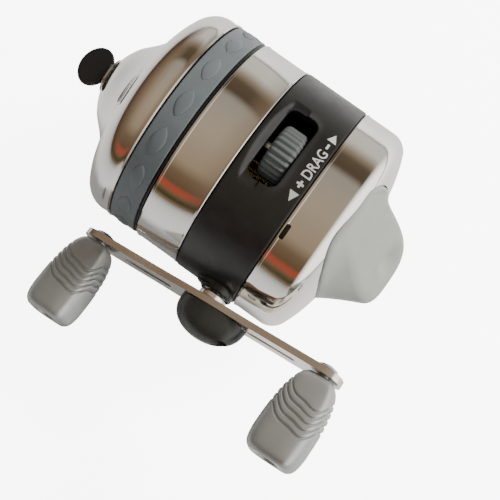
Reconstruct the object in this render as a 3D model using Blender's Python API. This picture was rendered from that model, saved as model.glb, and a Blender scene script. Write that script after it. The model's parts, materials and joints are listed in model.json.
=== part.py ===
"""Spincast fishing reel as an assembly of separate pieces, in metres.

+Y runs along the reel's main axis to the line exit, +Z is up and the crank is
on the -X side.  The origin is on the underside of the foot, below the middle
of the belt.
"""
import math

import bmesh
import bpy
from mathutils import Matrix, Vector

MM = 0.001

# ---- driving dimensions ------------------------------------------------------
AXIS_HEIGHT = 46.0 * MM        # main axis above the foot's underside
BODY_RADIUS = 37.0 * MM        # belt
BELT_HALF = 10.9 * MM          # half the belt's width along Y
COVER_RADIUS = 36.8 * MM       # polished covers
COVER_WALL = 1.0 * MM
GAP = 0.3 * MM                 # clearance between neighbouring pieces

CRANK_Y = -5.2 * MM            # crank axis, parallel to X
CRANK_TILT = math.radians(21.4)   # the arm's rear end stands up by this much
CRANK_SHAFT_RADIUS = 2.4 * MM
ARM_SPACING = 87.8 * MM        # between the two grip spindles
ARM_INNER = 41.8 * MM          # the arm's inner face, out from the main axis
ARM_THICK = 2.2 * MM
ARM_WIDTH = 11.6 * MM
GRIP_LENGTH = 28.3 * MM
SPINDLE_RADIUS = 1.9 * MM

GEAR_TEETH = 34
PINION_TEETH = 10
CENTRE_SHAFT_RADIUS = 1.75 * MM
SLEEVE_RADIUS = 2.9 * MM       # pinion sleeve
BEARING_RADIUS = 4.6 * MM

DRAG_MODULE = 1.25 * MM
DRAG_GEAR_TEETH = 40
DRAG_PINION_TEETH = 7
DRAG_HEIGHT = (DRAG_GEAR_TEETH + DRAG_PINION_TEETH) / 2 * DRAG_MODULE
DRAG_WHEEL_RADIUS = 8.7 * MM
DRAG_WHEEL_FRONT = 5.1 * MM
DRAG_WHEEL_REAR = -2.9 * MM

DECK_REAR = 13.0 * MM
DECK_FRONT = 15.5 * MM
HUB_RADIUS = 9.0 * MM
HUB_END = 35.8 * MM
PAWL_PIVOT = (13.0, -5.0)      # (x, z) from the main axis, in millimetres

BUTTON_FRONT = -25.2 * MM       # the button's front edge, at rest
BUTTON_WALL = 2.0 * MM
PAD_POINT = Vector((0, -29.2, 27.0)) * MM     # a point of the thumb pad's plane
PAD_SLOPE = 0.566                             # how far it runs back per height

FOOT_LENGTH = 60.0 * MM
FOOT_WIDTH = 18.0 * MM
FOOT_SCREW_Y = 7.0 * MM

MAIN = Matrix.Translation((0, 0, AXIS_HEIGHT))
# local +Y of a crank piece runs outward, to -X; local +X runs to the nose
OUTWARD = Matrix.Translation((0, CRANK_Y, AXIS_HEIGHT)) @ Matrix.Rotation(math.pi / 2, 4, "Z")
CRANK_ARM = (Matrix.Translation((0, CRANK_Y, AXIS_HEIGHT)) @ Matrix.Rotation(-CRANK_TILT, 4, "X")
             @ Matrix.Rotation(math.pi / 2, 4, "Z"))
FRONT_END = CRANK_ARM @ Matrix.Translation((ARM_SPACING / 2, 0, 0))
REAR_END = CRANK_ARM @ Matrix.Translation((-ARM_SPACING / 2, 0, 0))
CAP_SCREW = CRANK_ARM @ Matrix.Translation((-11.0 * MM, 0, 0))


# ---- helpers -------------------------------------------------------------------
def clear_scene():
    for old in list(bpy.data.objects):
        bpy.data.objects.remove(old, do_unlink=True)


def material(name, colour, roughness, metallic):
    found = bpy.data.materials.get(name)
    if found:
        return found
    made = bpy.data.materials.new(name)
    made.use_nodes = True
    shader = made.node_tree.nodes["Principled BSDF"]
    shader.inputs["Base Color"].default_value = (*colour, 1.0)
    shader.inputs["Roughness"].default_value = roughness
    shader.inputs["Metallic"].default_value = metallic
    made.diffuse_color = (*colour, 1.0)
    return made


FINISHES = {
    "polished_steel": ((0.78, 0.76, 0.72), 0.10, 1.0),
    "black_paint": ((0.018, 0.018, 0.017), 0.40, 0.0),
    "grey_rubber": ((0.17, 0.20, 0.22), 0.55, 0.0),
    "grey_plastic": ((0.42, 0.43, 0.42), 0.45, 0.0),
    "button_plastic": ((0.58, 0.59, 0.56), 0.42, 0.0),
    "dark_plastic": ((0.04, 0.042, 0.038), 0.35, 0.0),
    "black_rubber": ((0.01, 0.01, 0.01), 0.60, 0.0),
    "machined_steel": ((0.55, 0.55, 0.56), 0.28, 1.0),
    "brass": ((0.72, 0.53, 0.25), 0.30, 1.0),
    "cast_alloy": ((0.50, 0.51, 0.52), 0.45, 1.0),
    "felt": ((0.32, 0.28, 0.22), 0.95, 0.0),
    "fishing_line": ((0.62, 0.66, 0.60), 0.30, 0.0),
}


def finish(name, mesh_edit, slot, frame=MAIN):
    """Turn a bmesh into a named object, placed by frame in its mesh."""
    bmesh.ops.transform(mesh_edit, matrix=frame, verts=mesh_edit.verts)
    bmesh.ops.recalc_face_normals(mesh_edit, faces=mesh_edit.faces)
    mesh = bpy.data.meshes.new(name)
    mesh_edit.to_mesh(mesh)
    mesh_edit.free()
    mesh.shade_smooth()
    mesh.set_sharp_from_angle(angle=math.radians(32))
    made = bpy.data.objects.new(name, mesh)
    made.data.materials.append(material(slot, *FINISHES[slot]))
    bpy.context.collection.objects.link(made)
    return made


def lathe(name, sections, slot, frame=MAIN):
    """Close a ring of cross-sections about local Y into one solid.

    sections is a list of (angle, [(radius, along), ...]) with equal counts.
    """
    edit = bmesh.new()
    rings = []
    for angle, section in sections:
        side, up = math.sin(angle), math.cos(angle)
        rings.append([edit.verts.new((r * side, s, r * up)) for r, s in section])
    count = len(rings[0])
    for here, ring in enumerate(rings):
        after = rings[(here + 1) % len(rings)]
        for k in range(count):
            nxt = (k + 1) % count
            edit.faces.new((ring[k], ring[nxt], after[nxt], after[k]))
    bmesh.ops.remove_doubles(edit, verts=edit.verts, dist=1e-7)
    bmesh.ops.dissolve_degenerate(edit, edges=edit.edges, dist=1e-7)
    return finish(name, edit, slot, frame)


def turned(name, profile, slot, steps=32, frame=MAIN):
    """Turn a closed profile of (radius, along) in millimetres about local Y."""
    scaled = [(r * MM, s * MM) for r, s in profile]
    return lathe(name, [(math.tau * k / steps, scaled) for k in range(steps)], slot, frame)


def disc(name, radius, rear, front, slot, steps=16, frame=MAIN):
    """A plain round bar along local Y, in millimetres."""
    edit = bmesh.new()
    bmesh.ops.create_cone(edit, cap_ends=True, segments=steps, radius1=radius * MM,
                          radius2=radius * MM, depth=(front - rear) * MM)
    turn = Matrix.Translation((0, (front + rear) / 2 * MM, 0)) @ Matrix.Rotation(-math.pi / 2, 4, "X")
    bmesh.ops.transform(edit, matrix=turn, verts=edit.verts)
    return finish(name, edit, slot, frame)


def prism(name, outline, rear, front, slot, frame=MAIN):
    """Extrude an (x, z) outline in millimetres from rear to front along local Y."""
    edit = bmesh.new()
    ring = [edit.verts.new((u * MM, rear * MM, v * MM)) for u, v in outline]
    face = edit.faces.new(ring)
    grown = bmesh.ops.extrude_face_region(edit, geom=[face])
    moved = [item for item in grown["geom"] if isinstance(item, bmesh.types.BMVert)]
    bmesh.ops.translate(edit, vec=(0, (front - rear) * MM, 0), verts=moved)
    return finish(name, edit, slot, frame)


def block(name, low, high, slot, frame=MAIN):
    """A box between two corners, in millimetres."""
    outline = [(low[0], low[2]), (high[0], low[2]), (high[0], high[2]), (low[0], high[2])]
    return prism(name, outline, low[1], high[1], slot, frame)


def combine(target, tool, operation):
    """Apply a Boolean to target and remove the tool."""
    step = target.modifiers.new(operation.lower(), "BOOLEAN")
    step.operation = operation
    step.solver = "EXACT"
    step.object = tool
    bpy.context.view_layer.update()
    evaluated = target.evaluated_get(bpy.context.evaluated_depsgraph_get())
    mesh = bpy.data.meshes.new_from_object(evaluated)
    target.modifiers.clear()
    slot = target.data.materials[0]
    target.data = mesh
    mesh.name = target.name
    mesh.materials.clear()
    mesh.materials.append(slot)
    bpy.data.objects.remove(tool, do_unlink=True)
    edit = bmesh.new()
    edit.from_mesh(mesh)
    bmesh.ops.remove_doubles(edit, verts=edit.verts, dist=2e-6)
    bmesh.ops.dissolve_degenerate(edit, edges=edit.edges, dist=2e-6)
    edit.to_mesh(mesh)
    edit.free()
    mesh.polygons.foreach_set("material_index", [0] * len(mesh.polygons))
    mesh.shade_smooth()
    mesh.set_sharp_from_angle(angle=math.radians(32))


def cut(target, tool):
    combine(target, tool, "DIFFERENCE")


def join(target, tool):
    combine(target, tool, "UNION")


def at(x, z, frame=MAIN):
    """The main frame moved sideways to an axis parallel to Y, in millimetres."""
    return frame @ Matrix.Translation((x * MM, 0, z * MM))


def polar(radius, degrees):
    """(x, z) about the main axis, measured from straight up towards +X."""
    angle = math.radians(degrees)
    return radius * math.sin(angle), radius * math.cos(angle)


def arc(centre_r, centre_s, radius, start, stop, steps):
    """Profile points on an arc; degrees from +radius towards +along."""
    points = []
    for k in range(steps + 1):
        angle = math.radians(start + (stop - start) * k / steps)
        points.append((centre_r + radius * math.cos(angle), centre_s + radius * math.sin(angle)))
    return points


def inset(profile, wall):
    """Points one wall thickness inside an open outer profile that runs rear to front."""
    moved = []
    for k, (r, s) in enumerate(profile):
        before = profile[max(k - 1, 0)]
        after = profile[min(k + 1, len(profile) - 1)]
        dr, ds = after[0] - before[0], after[1] - before[1]
        length = math.hypot(dr, ds)
        moved.append((r - wall * ds / length, s + wall * dr / length))
    return moved


def tooth_stations(teeth, root, tip, foot_share, tip_share, phase=0.0):
    """Angles and radii of one gear outline; shares are parts of one tooth pitch."""
    pitch = math.tau / teeth
    stations = []
    for k in range(teeth):
        middle = phase + k * pitch
        for share, radius in ((-foot_share, root), (-tip_share, tip), (tip_share, tip), (foot_share, root)):
            stations.append((middle + share * pitch / 2, radius))
    return stations


def superellipse(half_x, half_z, centre_z, power, steps):
    """Points of a rounded outline, starting at +X."""
    points = []
    for k in range(steps):
        angle = math.tau * k / steps
        c, s = math.cos(angle), math.sin(angle)
        x = math.copysign(abs(c) ** (2 / power), c) * half_x
        z = math.copysign(abs(s) ** (2 / power), s) * half_z + centre_z
        points.append((x, z))
    return points


def pivot(name, location, rotation=(0, 0, 0), parent=None):
    """An empty on a joint's axis; location in world metres."""
    empty = bpy.data.objects.new(name, None)
    empty.empty_display_size = 5 * MM
    bpy.context.collection.objects.link(empty)
    place = Matrix.Translation(location)
    for angle, axis in zip(rotation, "XYZ"):
        place = place @ Matrix.Rotation(angle, 4, axis)
    empty.parent = parent
    empty.matrix_world = place
    bpy.context.view_layer.update()
    return empty


def hang(pieces, empty):
    """Give pieces modelled in the world frame their joint's frame as origin."""
    for piece in pieces:
        piece.data.transform(empty.matrix_world.inverted())
        piece.parent = empty
        piece.matrix_parent_inverse = Matrix.Identity(4)
        piece.matrix_basis = Matrix.Identity(4)


# ---- shells and chassis ----------------------------------------------------------
def body_belt():
    r, h = BODY_RADIUS / MM, BELT_HALF / MM
    spigot = COVER_RADIUS / MM - COVER_WALL / MM - 0.3
    profile = [(34.0, -h - 3.0), (spigot, -h - 3.0), (spigot, -h), (r, -h), (r, h),
               (spigot - 0.2, h), (spigot - 0.2, h + 3.0), (34.0, h + 3.0)]
    belt = turned("body_belt", profile, "black_paint", 40)
    for degrees in (60, 180, 300):
        lug = block("lug", (-4, 9.4, 26.5), (4, 12.7, 34.6), "black_paint",
                    MAIN @ Matrix.Rotation(math.radians(degrees), 4, "Y"))
        join(belt, lug)
        x, z = polar(30.0, degrees)
        cut(belt, disc("hole", 1.6, 8, 14, "black_paint", 12, at(x, z)))
    join(belt, block("rear_lug", (-4.5, -9.0, 25.5), (4.5, -6.2, 34.6), "black_paint"))
    join(belt, disc("boss", 6.3, 13.5, 34.6, "black_paint", 24, OUTWARD))
    join(belt, disc("boss_face", 5.6, 33.0, 39.2, "black_paint", 24, OUTWARD))
    cut(belt, disc("bore", BEARING_RADIUS / MM + 0.3, 10, 42, "black_paint", 24, OUTWARD))
    cut(belt, block("window", (-12.6, -3.3, 32.0), (12.6, 7.0, 40.0), "black_paint"))
    cut(belt, disc("spindle_hole", 1.9, -12, -4, "black_paint", 12, at(0, DRAG_HEIGHT / MM)))
    for y in (-FOOT_SCREW_Y / MM, FOOT_SCREW_Y / MM):
        down = Matrix.Translation((0, y * MM, 0)) @ Matrix.Rotation(-math.pi / 2, 4, "X")
        cut(belt, disc("foot_hole", 1.8, 30, 40, "black_paint", 12, MAIN @ down))
    return belt


def rear_cover():
    outer = [(COVER_RADIUS / MM, -BELT_HALF / MM - 0.3)]
    outer += arc(29.8, -21.5, 7.0, 0, -72, 5)
    outer += [(24.6, -30.7), (15.0, -32.5), (4.0, -33.5)]
    inner = inset(outer[::-1], COVER_WALL / MM)
    inner[-1] = (COVER_RADIUS / MM - COVER_WALL / MM, outer[0][1])
    centre = [(0.0, outer[-1][1]), (0.0, inner[0][1])]
    cover = turned("rear_cover", outer + centre + inner, "polished_steel", 36)
    cut(cover, prism("button_hole", button_base(0.4, 40), -60, -16, "polished_steel"))
    slot_frame = MAIN @ Matrix.Rotation(math.radians(-31.5), 4, "Y")
    cut(cover, block("latch_slot", (-2.5, -13.3, 34), (2.5, -11.8, 39), "polished_steel", slot_frame))
    return cover


def front_sleeve():
    r, wall = 36.6, COVER_WALL / MM
    h = BELT_HALF / MM + 0.3
    profile = [(r - wall, h), (r, h), (r, 26.8), (r - wall, 26.8)]
    return turned("front_sleeve", profile, "polished_steel", 40)


def cover_seal():
    profile = [(34.2, 27.1), (36.0, 27.1), (36.0, 27.8), (34.2, 27.8)]
    return turned("cover_seal", profile, "black_rubber", 36)


def grip_ring():
    profile = [(34.3, 28.1), (36.5, 28.1), (36.8, 28.6), (36.8, 36.4), (36.5, 36.9), (34.3, 36.9)]
    return turned("grip_ring", profile, "grey_rubber", 36)


def nose_cone_cover():
    outer = [(36.7, 37.3)]
    outer += arc(28.6, 41.0, 8.0, 0, 58, 4)
    outer += [(27.3, 50.9), (23.6, 52.4), (19.8, 54.3), (16.9, 56.5), (14.6, 59.0)]
    outer += [(11.6, 61.3), (6.6, 63.5), (5.6, 63.5)]
    inner = inset(outer, 1.1)[::-2]
    inner[0] = (5.6, 62.3)
    inner[-1] = (35.5, 38.6)
    skirt = [(32.9, 38.6), (32.9, 22.0), (33.9, 22.0), (33.9, 37.3)]
    return turned("nose_cone_cover", outer + inner + skirt, "polished_steel", 36)


def line_guide_ring():
    profile = [(3.7, 60.8), (5.3, 60.8), (5.3, 63.8), (6.0, 63.8), (6.0, 64.5), (3.7, 64.5)]
    return turned("line_guide_ring", profile, "machined_steel", 18)


def line_keeper_plug():
    plug = disc("line_keeper_plug", 3.3, 54.0, 66.0, "black_rubber", 20)
    edit = bmesh.new()
    bmesh.ops.create_cone(edit, cap_ends=True, segments=28, radius1=1, radius2=1, depth=1)
    size = Matrix.Diagonal((7.2 * MM, 5.2 * MM, 2.6 * MM, 1))
    place = Matrix.Translation((-0.4 * MM, 70.0 * MM, 0))
    bmesh.ops.transform(edit, matrix=place @ size, verts=edit.verts)
    join(plug, finish("tab", edit, "black_rubber"))
    return plug


def reel_foot():
    """Foot plate with ramped ends, and the neck that carries the belt."""
    half, wide = FOOT_LENGTH / 2, FOOT_WIDTH / 2
    edit = bmesh.new()
    side = [(-half, 0), (half, 0), (half, 1.4 * MM), (13 * MM, 3.4 * MM), (-13 * MM, 3.4 * MM), (-half, 1.4 * MM)]
    face = edit.faces.new([edit.verts.new((-wide, y, z)) for y, z in side])
    grown = bmesh.ops.extrude_face_region(edit, geom=[face])
    moved = [item for item in grown["geom"] if isinstance(item, bmesh.types.BMVert)]
    bmesh.ops.translate(edit, vec=(FOOT_WIDTH, 0, 0), verts=moved)
    corners = [e for e in edit.edges if all(abs(abs(v.co.y) - half) < 1e-6 for v in e.verts)
               and abs(e.verts[0].co.z - e.verts[1].co.z) > 1e-4]
    bmesh.ops.bevel(edit, geom=corners, offset=7.5 * MM, segments=5, profile=0.5, affect="EDGES",
                    material=-1, clamp_overlap=False)
    foot = finish("reel_foot", edit, "black_paint", Matrix.Identity(4))
    join(foot, block("neck", (-5.5, -10.2, 3.0), (5.5, 10.2, 14.0), "black_paint", Matrix.Identity(4)))
    cut(foot, disc("saddle", BODY_RADIUS / MM + 0.3, -20, 20, "black_paint", 48))
    up = Matrix.Rotation(math.pi / 2, 4, "X")
    for y in (-FOOT_SCREW_Y, FOOT_SCREW_Y):
        frame = Matrix.Translation((0, y, 0)) @ up
        cut(foot, disc("shank_hole", 1.8, -1, 20, "black_paint", 14, frame))
        cut(foot, disc("head_hole", 3.4, -1, 2.4, "black_paint", 18, frame))
    return foot


def foot_screws():
    up = Matrix.Rotation(math.pi / 2, 4, "X")
    profile = [(0, 0.5), (3.0, 0.5), (3.0, 2.1), (1.45, 2.1), (1.45, 13.4), (0, 13.4)]
    made = []
    for name, y in (("foot_screw_rear", -FOOT_SCREW_Y), ("foot_screw_front", FOOT_SCREW_Y)):
        frame = Matrix.Translation((0, y, 0)) @ up
        screw = turned(name, profile, "machined_steel", 14, frame)
        cut(screw, block("drive", (-2.2, -1, -0.4), (2.2, 1.2, 0.4), "machined_steel", frame))
        made.append(screw)
    return made


# ---- inside the body ---------------------------------------------------------------
def deck_plate():
    rear, front = DECK_REAR / MM, DECK_FRONT / MM
    bore, hub = BEARING_RADIUS / MM + 0.3, HUB_RADIUS / MM
    profile = [(bore, rear), (33.5, rear), (33.5, front), (hub, front), (hub, HUB_END / MM), (bore, HUB_END / MM)]
    deck = turned("deck_plate", profile, "cast_alloy", 32)
    for degrees in (60, 180, 300):
        x, z = polar(30.0, degrees)
        cut(deck, disc("hole", 1.6, 10, 20, "cast_alloy", 12, at(x, z)))
    cut(deck, disc("spindle_hole", 2.0, 10, 20, "cast_alloy", 12, at(0, DRAG_HEIGHT / MM)))
    cut(deck, disc("pawl_hole", 1.5, 10, 20, "cast_alloy", 12, at(*PAWL_PIVOT)))
    return deck


def deck_screws():
    profile = [(0, 9.7), (1.3, 9.7), (1.3, 15.8), (2.6, 15.8), (2.6, 17.4), (0, 17.4)]
    made = []
    for number, degrees in enumerate((60, 180, 300), 1):
        frame = at(*polar(30.0, degrees))
        screw = turned(f"deck_screw_{number}", profile, "machined_steel", 12, frame)
        cut(screw, block("drive", (-2.0, 16.7, -0.35), (2.0, 18, 0.35), "machined_steel", frame))
        made.append(screw)
    return made


def ring(name, inner, outer, rear, front, slot, steps=24, frame=MAIN):
    return turned(name, [(inner, rear), (outer, rear), (outer, front), (inner, front)], slot, steps, frame)


def pinion_gear():
    """Ten-tooth pinion on a long sleeve that runs in the hub's two bearings."""
    bore, sleeve = (CENTRE_SHAFT_RADIUS + GAP) / MM, SLEEVE_RADIUS / MM
    # a tooth gap faces the face gear, on the -X side
    phase = math.radians(-90) + math.pi / PINION_TEETH
    sections = []
    for angle, radius in tooth_stations(PINION_TEETH, 3.2, 4.62, 0.46, 0.17, phase):
        section = [(bore, -1), (bore, 35.4), (sleeve, 35.4), (sleeve, 10.4), (radius, 10.4),
                   (radius, 6.4), (sleeve, 6.4), (sleeve, -1)]
        sections.append((angle, [(r * MM, s * MM) for r, s in section]))
    return lathe("pinion_gear", sections, "brass")


def anti_reverse_ratchet():
    sections = []
    teeth = 12
    for k in range(teeth):
        for share, radius in ((0.0, 5.3), (0.06, 6.5), (0.55, 5.9)):
            section = [(3.2, 11.0), (3.2, 12.5), (radius, 12.5), (radius, 11.0)]
            sections.append((math.tau * (k + share) / teeth, [(r * MM, s * MM) for r, s in section]))
    return lathe("anti_reverse_ratchet", sections, "machined_steel")


def anti_reverse_pawl():
    px, pz = PAWL_PIVOT
    outline = [(px + 2.4, pz), (px + 1.6, pz + 1.9), (px - 1.0, pz + 2.5), (6.95, 0.6), (6.85, -0.4),
               (8.2, -2.6), (px - 2.2, pz - 1.2), (px, pz - 2.6), (px + 1.8, pz - 1.8)]
    pawl = prism("anti_reverse_pawl", outline, 11.0, 12.5, "machined_steel")
    cut(pawl, disc("hole", 1.5, 9, 14, "machined_steel", 16, at(px, pz)))
    return pawl


def pawl_pivot():
    profile = [(0, 9.6), (2.1, 9.6), (2.1, 10.6), (1.15, 10.6), (1.15, 15.2), (0, 15.2)]
    return turned("pawl_pivot", profile, "machined_steel", 14, at(*PAWL_PIVOT))


def return_spring():
    """Coil round the centre shaft, between the pinion's end and the clip."""
    mean, wire, rear, front, turns, steps = 2.42, 0.24, -14.7, -1.5, 7, 12
    coil = bpy.data.curves.new("return_spring_path", "CURVE")
    coil.dimensions = "3D"
    coil.bevel_depth = wire * MM
    coil.bevel_resolution = 0
    coil.use_fill_caps = True
    path = coil.splines.new("POLY")
    count = turns * steps + 1
    path.points.add(count - 1)
    for k, point in enumerate(path.points):
        angle = math.tau * k / steps
        along = rear + (front - rear) * k / (count - 1)
        point.co = (mean * math.cos(angle) * MM, along * MM, mean * math.sin(angle) * MM, 1)
    holder = bpy.data.objects.new("spring_path", coil)
    bpy.context.collection.objects.link(holder)
    bpy.context.view_layer.update()
    edit = bmesh.new()
    edit.from_mesh(bpy.data.meshes.new_from_object(holder.evaluated_get(bpy.context.evaluated_depsgraph_get())))
    bmesh.ops.remove_doubles(edit, verts=edit.verts, dist=1e-7)
    bpy.data.objects.remove(holder, do_unlink=True)
    return finish("return_spring", edit, "machined_steel")


def pickup_head():
    profile = [(CENTRE_SHAFT_RADIUS / MM + 0.3, 37.0), (5.5, 37.0), (5.5, 40.3), (26.0, 40.3), (30.1, 38.0),
               (30.1, 33.6), (31.3, 33.6), (31.3, 38.2), (26.6, 41.8), (CENTRE_SHAFT_RADIUS / MM + 0.3, 41.8)]
    head = turned("pickup_head", profile, "machined_steel", 30)
    pin_frame = MAIN @ Matrix.Translation((0, 36 * MM, 0)) @ Matrix.Rotation(-math.pi / 2, 4, "Z")
    cut(head, disc("pin_hole", 1.2, 29, 33, "machined_steel", 14, pin_frame))
    return head


def pickup_pin():
    frame = MAIN @ Matrix.Translation((0, 36 * MM, 0)) @ Matrix.Rotation(-math.pi / 2, 4, "Z")
    profile = [(0, 26.8), (1.6, 26.8), (1.6, 28.0), (0.9, 28.0), (0.9, 32.4), (0, 32.4)]
    return turned("pickup_pin", profile, "machined_steel", 14, frame)


def spool():
    bore = HUB_RADIUS / MM + 0.3
    profile = [(bore, 20.4), (31.0, 20.4), (31.0, 21.8), (17.0, 22.4), (17.0, 31.8), (29.2, 32.4),
               (29.2, 33.2), (bore, 33.2)]
    return turned("spool", profile, "cast_alloy", 32)


def wound_line():
    profile = [(17.3, 22.8), (25.6, 22.3), (26.6, 27.2), (25.6, 31.9), (17.3, 31.5)]
    return turned("wound_line", profile, "fishing_line", 28)


def drag_gear():
    """Drag nut: its rim is toothed and its bore runs on the hub's thread."""
    root, tip = 23.6, 26.0
    sections = []
    for angle, radius in tooth_stations(DRAG_GEAR_TEETH, root, tip, 0.74, 0.24, math.pi / DRAG_GEAR_TEETH):
        section = [(9.3, 16.0), (9.3, 18.0), (radius, 18.0), (radius, 16.0)]
        sections.append((angle, [(r * MM, s * MM) for r, s in section]))
    return lathe("drag_gear", sections, "brass")


def drag_pinion():
    sections = []
    for angle, radius in tooth_stations(DRAG_PINION_TEETH, 3.1, 5.25, 0.70, 0.20):
        section = [(1.9, 16.0), (1.9, 18.0), (radius, 18.0), (radius, 16.0)]
        sections.append((math.pi + angle, [(r * MM, s * MM) for r, s in section]))
    return lathe("drag_pinion", sections, "brass", at(0, DRAG_HEIGHT / MM))


def drag_wheel():
    """Thumb wheel with straight ridges along its width."""
    tip, root = DRAG_WHEEL_RADIUS / MM, DRAG_WHEEL_RADIUS / MM - 0.7
    rear, front = DRAG_WHEEL_REAR / MM, DRAG_WHEEL_FRONT / MM
    sections = []
    for angle, radius in tooth_stations(26, root, tip, 0.8, 0.45):
        section = [(1.9, rear), (1.9, front), (radius, front), (radius, rear)]
        sections.append((angle, [(r * MM, s * MM) for r, s in section]))
    return lathe("drag_wheel", sections, "grey_plastic", at(0, DRAG_HEIGHT / MM))


# ---- thumb button --------------------------------------------------------------------
def button_base(grow, steps):
    """The button's (x, z) outline where it leaves the cover, fuller on the crank's side."""
    outline = superellipse(1.0, 22.5 + grow, 12.5, 2.8, steps)
    return [(x * ((13.2 if x > 0 else 22.4) + grow), z) for x, z in outline]


def button_outlines(grow, steps):
    """The button's (x, z) outlines: where it leaves the cover, and its slanted pad."""
    base = button_base(-grow, steps)
    pad = []
    for k in range(steps):
        angle = math.tau * k / steps
        c, s = math.cos(angle), math.sin(angle)
        power = 7 if s > 0 else 3
        z = 10.1 + math.copysign(abs(s) ** (2 / power), s) * (18.6 - grow)
        half = 12.0 - grow - 0.13 * (z - 10.1)
        pad.append((math.copysign(abs(c) ** (2 / power), c) * half, z))
    return base, pad


def cover_rear(x, z):
    """How far back the rear cover reaches above a point, in millimetres."""
    radius = math.hypot(x, z)
    if radius > 32:
        return -21.5 - math.sqrt(max(49 - (radius - 29.8) ** 2, 0.0))
    return -33.5 + 5.3 * (radius / 32) ** 3


def button_block(name, grow, front, shoulder, pad_shift):
    """A closed block from the button's front edge over its shoulder to the pad."""
    base, pad = button_outlines(grow, 40)
    limit = BUTTON_FRONT / MM
    edit = bmesh.new()
    rings = [[(x, front if front else min(cover_rear(x, z) + 1.6, limit), z) for x, z in base],
             [(x, min(cover_rear(x, z) - 0.2 + shoulder, limit) if shoulder else cover_rear(x, z) - 0.2, z)
              for x, z in base],
             [(x, PAD_POINT.y / MM + (z - PAD_POINT.z / MM) * PAD_SLOPE + pad_shift, z) for x, z in pad]]
    rings = [[edit.verts.new(Vector(place) * MM) for place in ring] for ring in rings]
    for here, after in zip(rings, rings[1:]):
        for k in range(len(here)):
            nxt = (k + 1) % len(here)
            edit.faces.new((here[k], here[nxt], after[nxt], after[k]))
    edit.faces.new(rings[-1])
    ends = edit.faces.new(rings[0])
    bmesh.ops.triangulate(edit, faces=[ends])
    return finish(name, edit, "button_plastic")


def thumb_button():
    button = button_block("thumb_button", 0.0, 0.0, 0.0, 0.0)
    inner = button_block("inner", BUTTON_WALL / MM, -20.0, 2.0, 2.3)
    cut(button, inner)
    post = disc("post", 2.2, -43.2, -23.8, "button_plastic", 14)
    join(button, post)
    return button


# ---- crank ----------------------------------------------------------------------------
def drive_gear():
    """Face gear whose teeth point at the main axis, with its hub on the shaft."""
    bore = CRANK_SHAFT_RADIUS / MM + 0.3
    inner, outer = 12.2, 15.2
    tip_level, root_level = 3.38, 4.95
    pitch = math.tau / GEAR_TEETH
    sections = []
    for k in range(GEAR_TEETH):
        for share, level in ((-0.26, root_level), (-0.1, tip_level), (0.1, tip_level), (0.26, root_level)):
            section = [(bore, 6.6), (bore, 10.8), (7.5, 10.8), (7.5, 8.6), (outer, 8.4), (outer, level),
                       (inner, level), (inner, 6.6)]
            angle = math.radians(90) + (k + share) * pitch
            sections.append((angle, [(r * MM, s * MM) for r, s in section]))
    return lathe("drive_gear", sections, "brass", frame=OUTWARD)


def arm_outline():
    """Half-width of the arm along its length, as an (along, across) outline in mm."""
    half, wide = ARM_SPACING / MM / 2, ARM_WIDTH / MM / 2
    points = []
    for side in (1, -1):
        end = [(side * (half + wide * math.sin(math.radians(a))), side * wide * math.cos(math.radians(a)))
               for a in range(0, 181, 20)]
        waist = [(side * half * 0.55, -side * (wide - 0.6)), (side * half * 0.2, -side * (wide + 0.4))]
        points += end + waist
        points += [(-side * half * 0.2, -side * (wide + 0.4)), (-side * half * 0.55, -side * (wide - 0.6))]
    return points


def crank_arm():
    arm = prism("crank_arm", arm_outline(), ARM_INNER / MM, (ARM_INNER + ARM_THICK) / MM,
                "polished_steel", CRANK_ARM)
    for side in (-1, 1):
        middle = side * ARM_SPACING / MM * 0.27
        slot = [(middle - 9, -1.1), (middle + 9, -1.1), (middle + 10, 0), (middle + 9, 1.1), (middle - 9, 1.1),
                (middle - 10, 0)]
        cut(arm, prism("slot", slot, 38, 48, "polished_steel", CRANK_ARM))
        spindle = CRANK_ARM @ Matrix.Translation((side * ARM_SPACING / 2, 0, 0))
        cut(arm, disc("spindle_hole", SPINDLE_RADIUS / MM + 0.3, 38, 48, "polished_steel", 18, spindle))
    cut(arm, disc("shaft_hole", CRANK_SHAFT_RADIUS / MM + 0.3, 38, 48, "polished_steel", 20, OUTWARD))
    cut(arm, disc("cap_screw_hole", 1.2, 38, 48, "polished_steel", 12, CAP_SCREW))
    return arm


def handle_nut():
    hexagon = [(4.0 * math.cos(math.tau * k / 6), 4.0 * math.sin(math.tau * k / 6)) for k in range(6)]
    nut = prism("handle_nut", hexagon, 44.3, 47.3, "machined_steel", CRANK_ARM)
    cut(nut, disc("thread", CRANK_SHAFT_RADIUS / MM + 0.15, 40, 50, "machined_steel", 20, OUTWARD))
    return nut


def nut_cap():
    """Hollow dome over the nut, longer towards its screw at the rear end."""
    edit = bmesh.new()
    bmesh.ops.create_uvsphere(edit, u_segments=20, v_segments=10, radius=1)
    bmesh.ops.bisect_plane(edit, geom=edit.verts[:] + edit.edges[:] + edit.faces[:], plane_co=(0, 0, 0),
                           plane_no=(0, -1, 0), clear_outer=True, dist=1e-7)
    bmesh.ops.holes_fill(edit, edges=[e for e in edit.edges if e.is_boundary])
    size = Matrix.Diagonal((12.3 * MM, 9.6 * MM, 6.6 * MM, 1))
    place = Matrix.Translation((-3.6 * MM, 44.3 * MM, 0))
    bmesh.ops.transform(edit, matrix=place @ size, verts=edit.verts)
    cap = finish("nut_cap", edit, "dark_plastic", CRANK_ARM)
    cut(cap, disc("nut_room", 4.4, 40, 48.6, "dark_plastic", 24, CRANK_ARM))
    cut(cap, disc("screw_hole", 1.2, 40, 60, "dark_plastic", 12, CAP_SCREW))
    cut(cap, disc("screw_recess", 2.3, 47.0, 60, "dark_plastic", 18, CAP_SCREW))
    return cap


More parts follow.
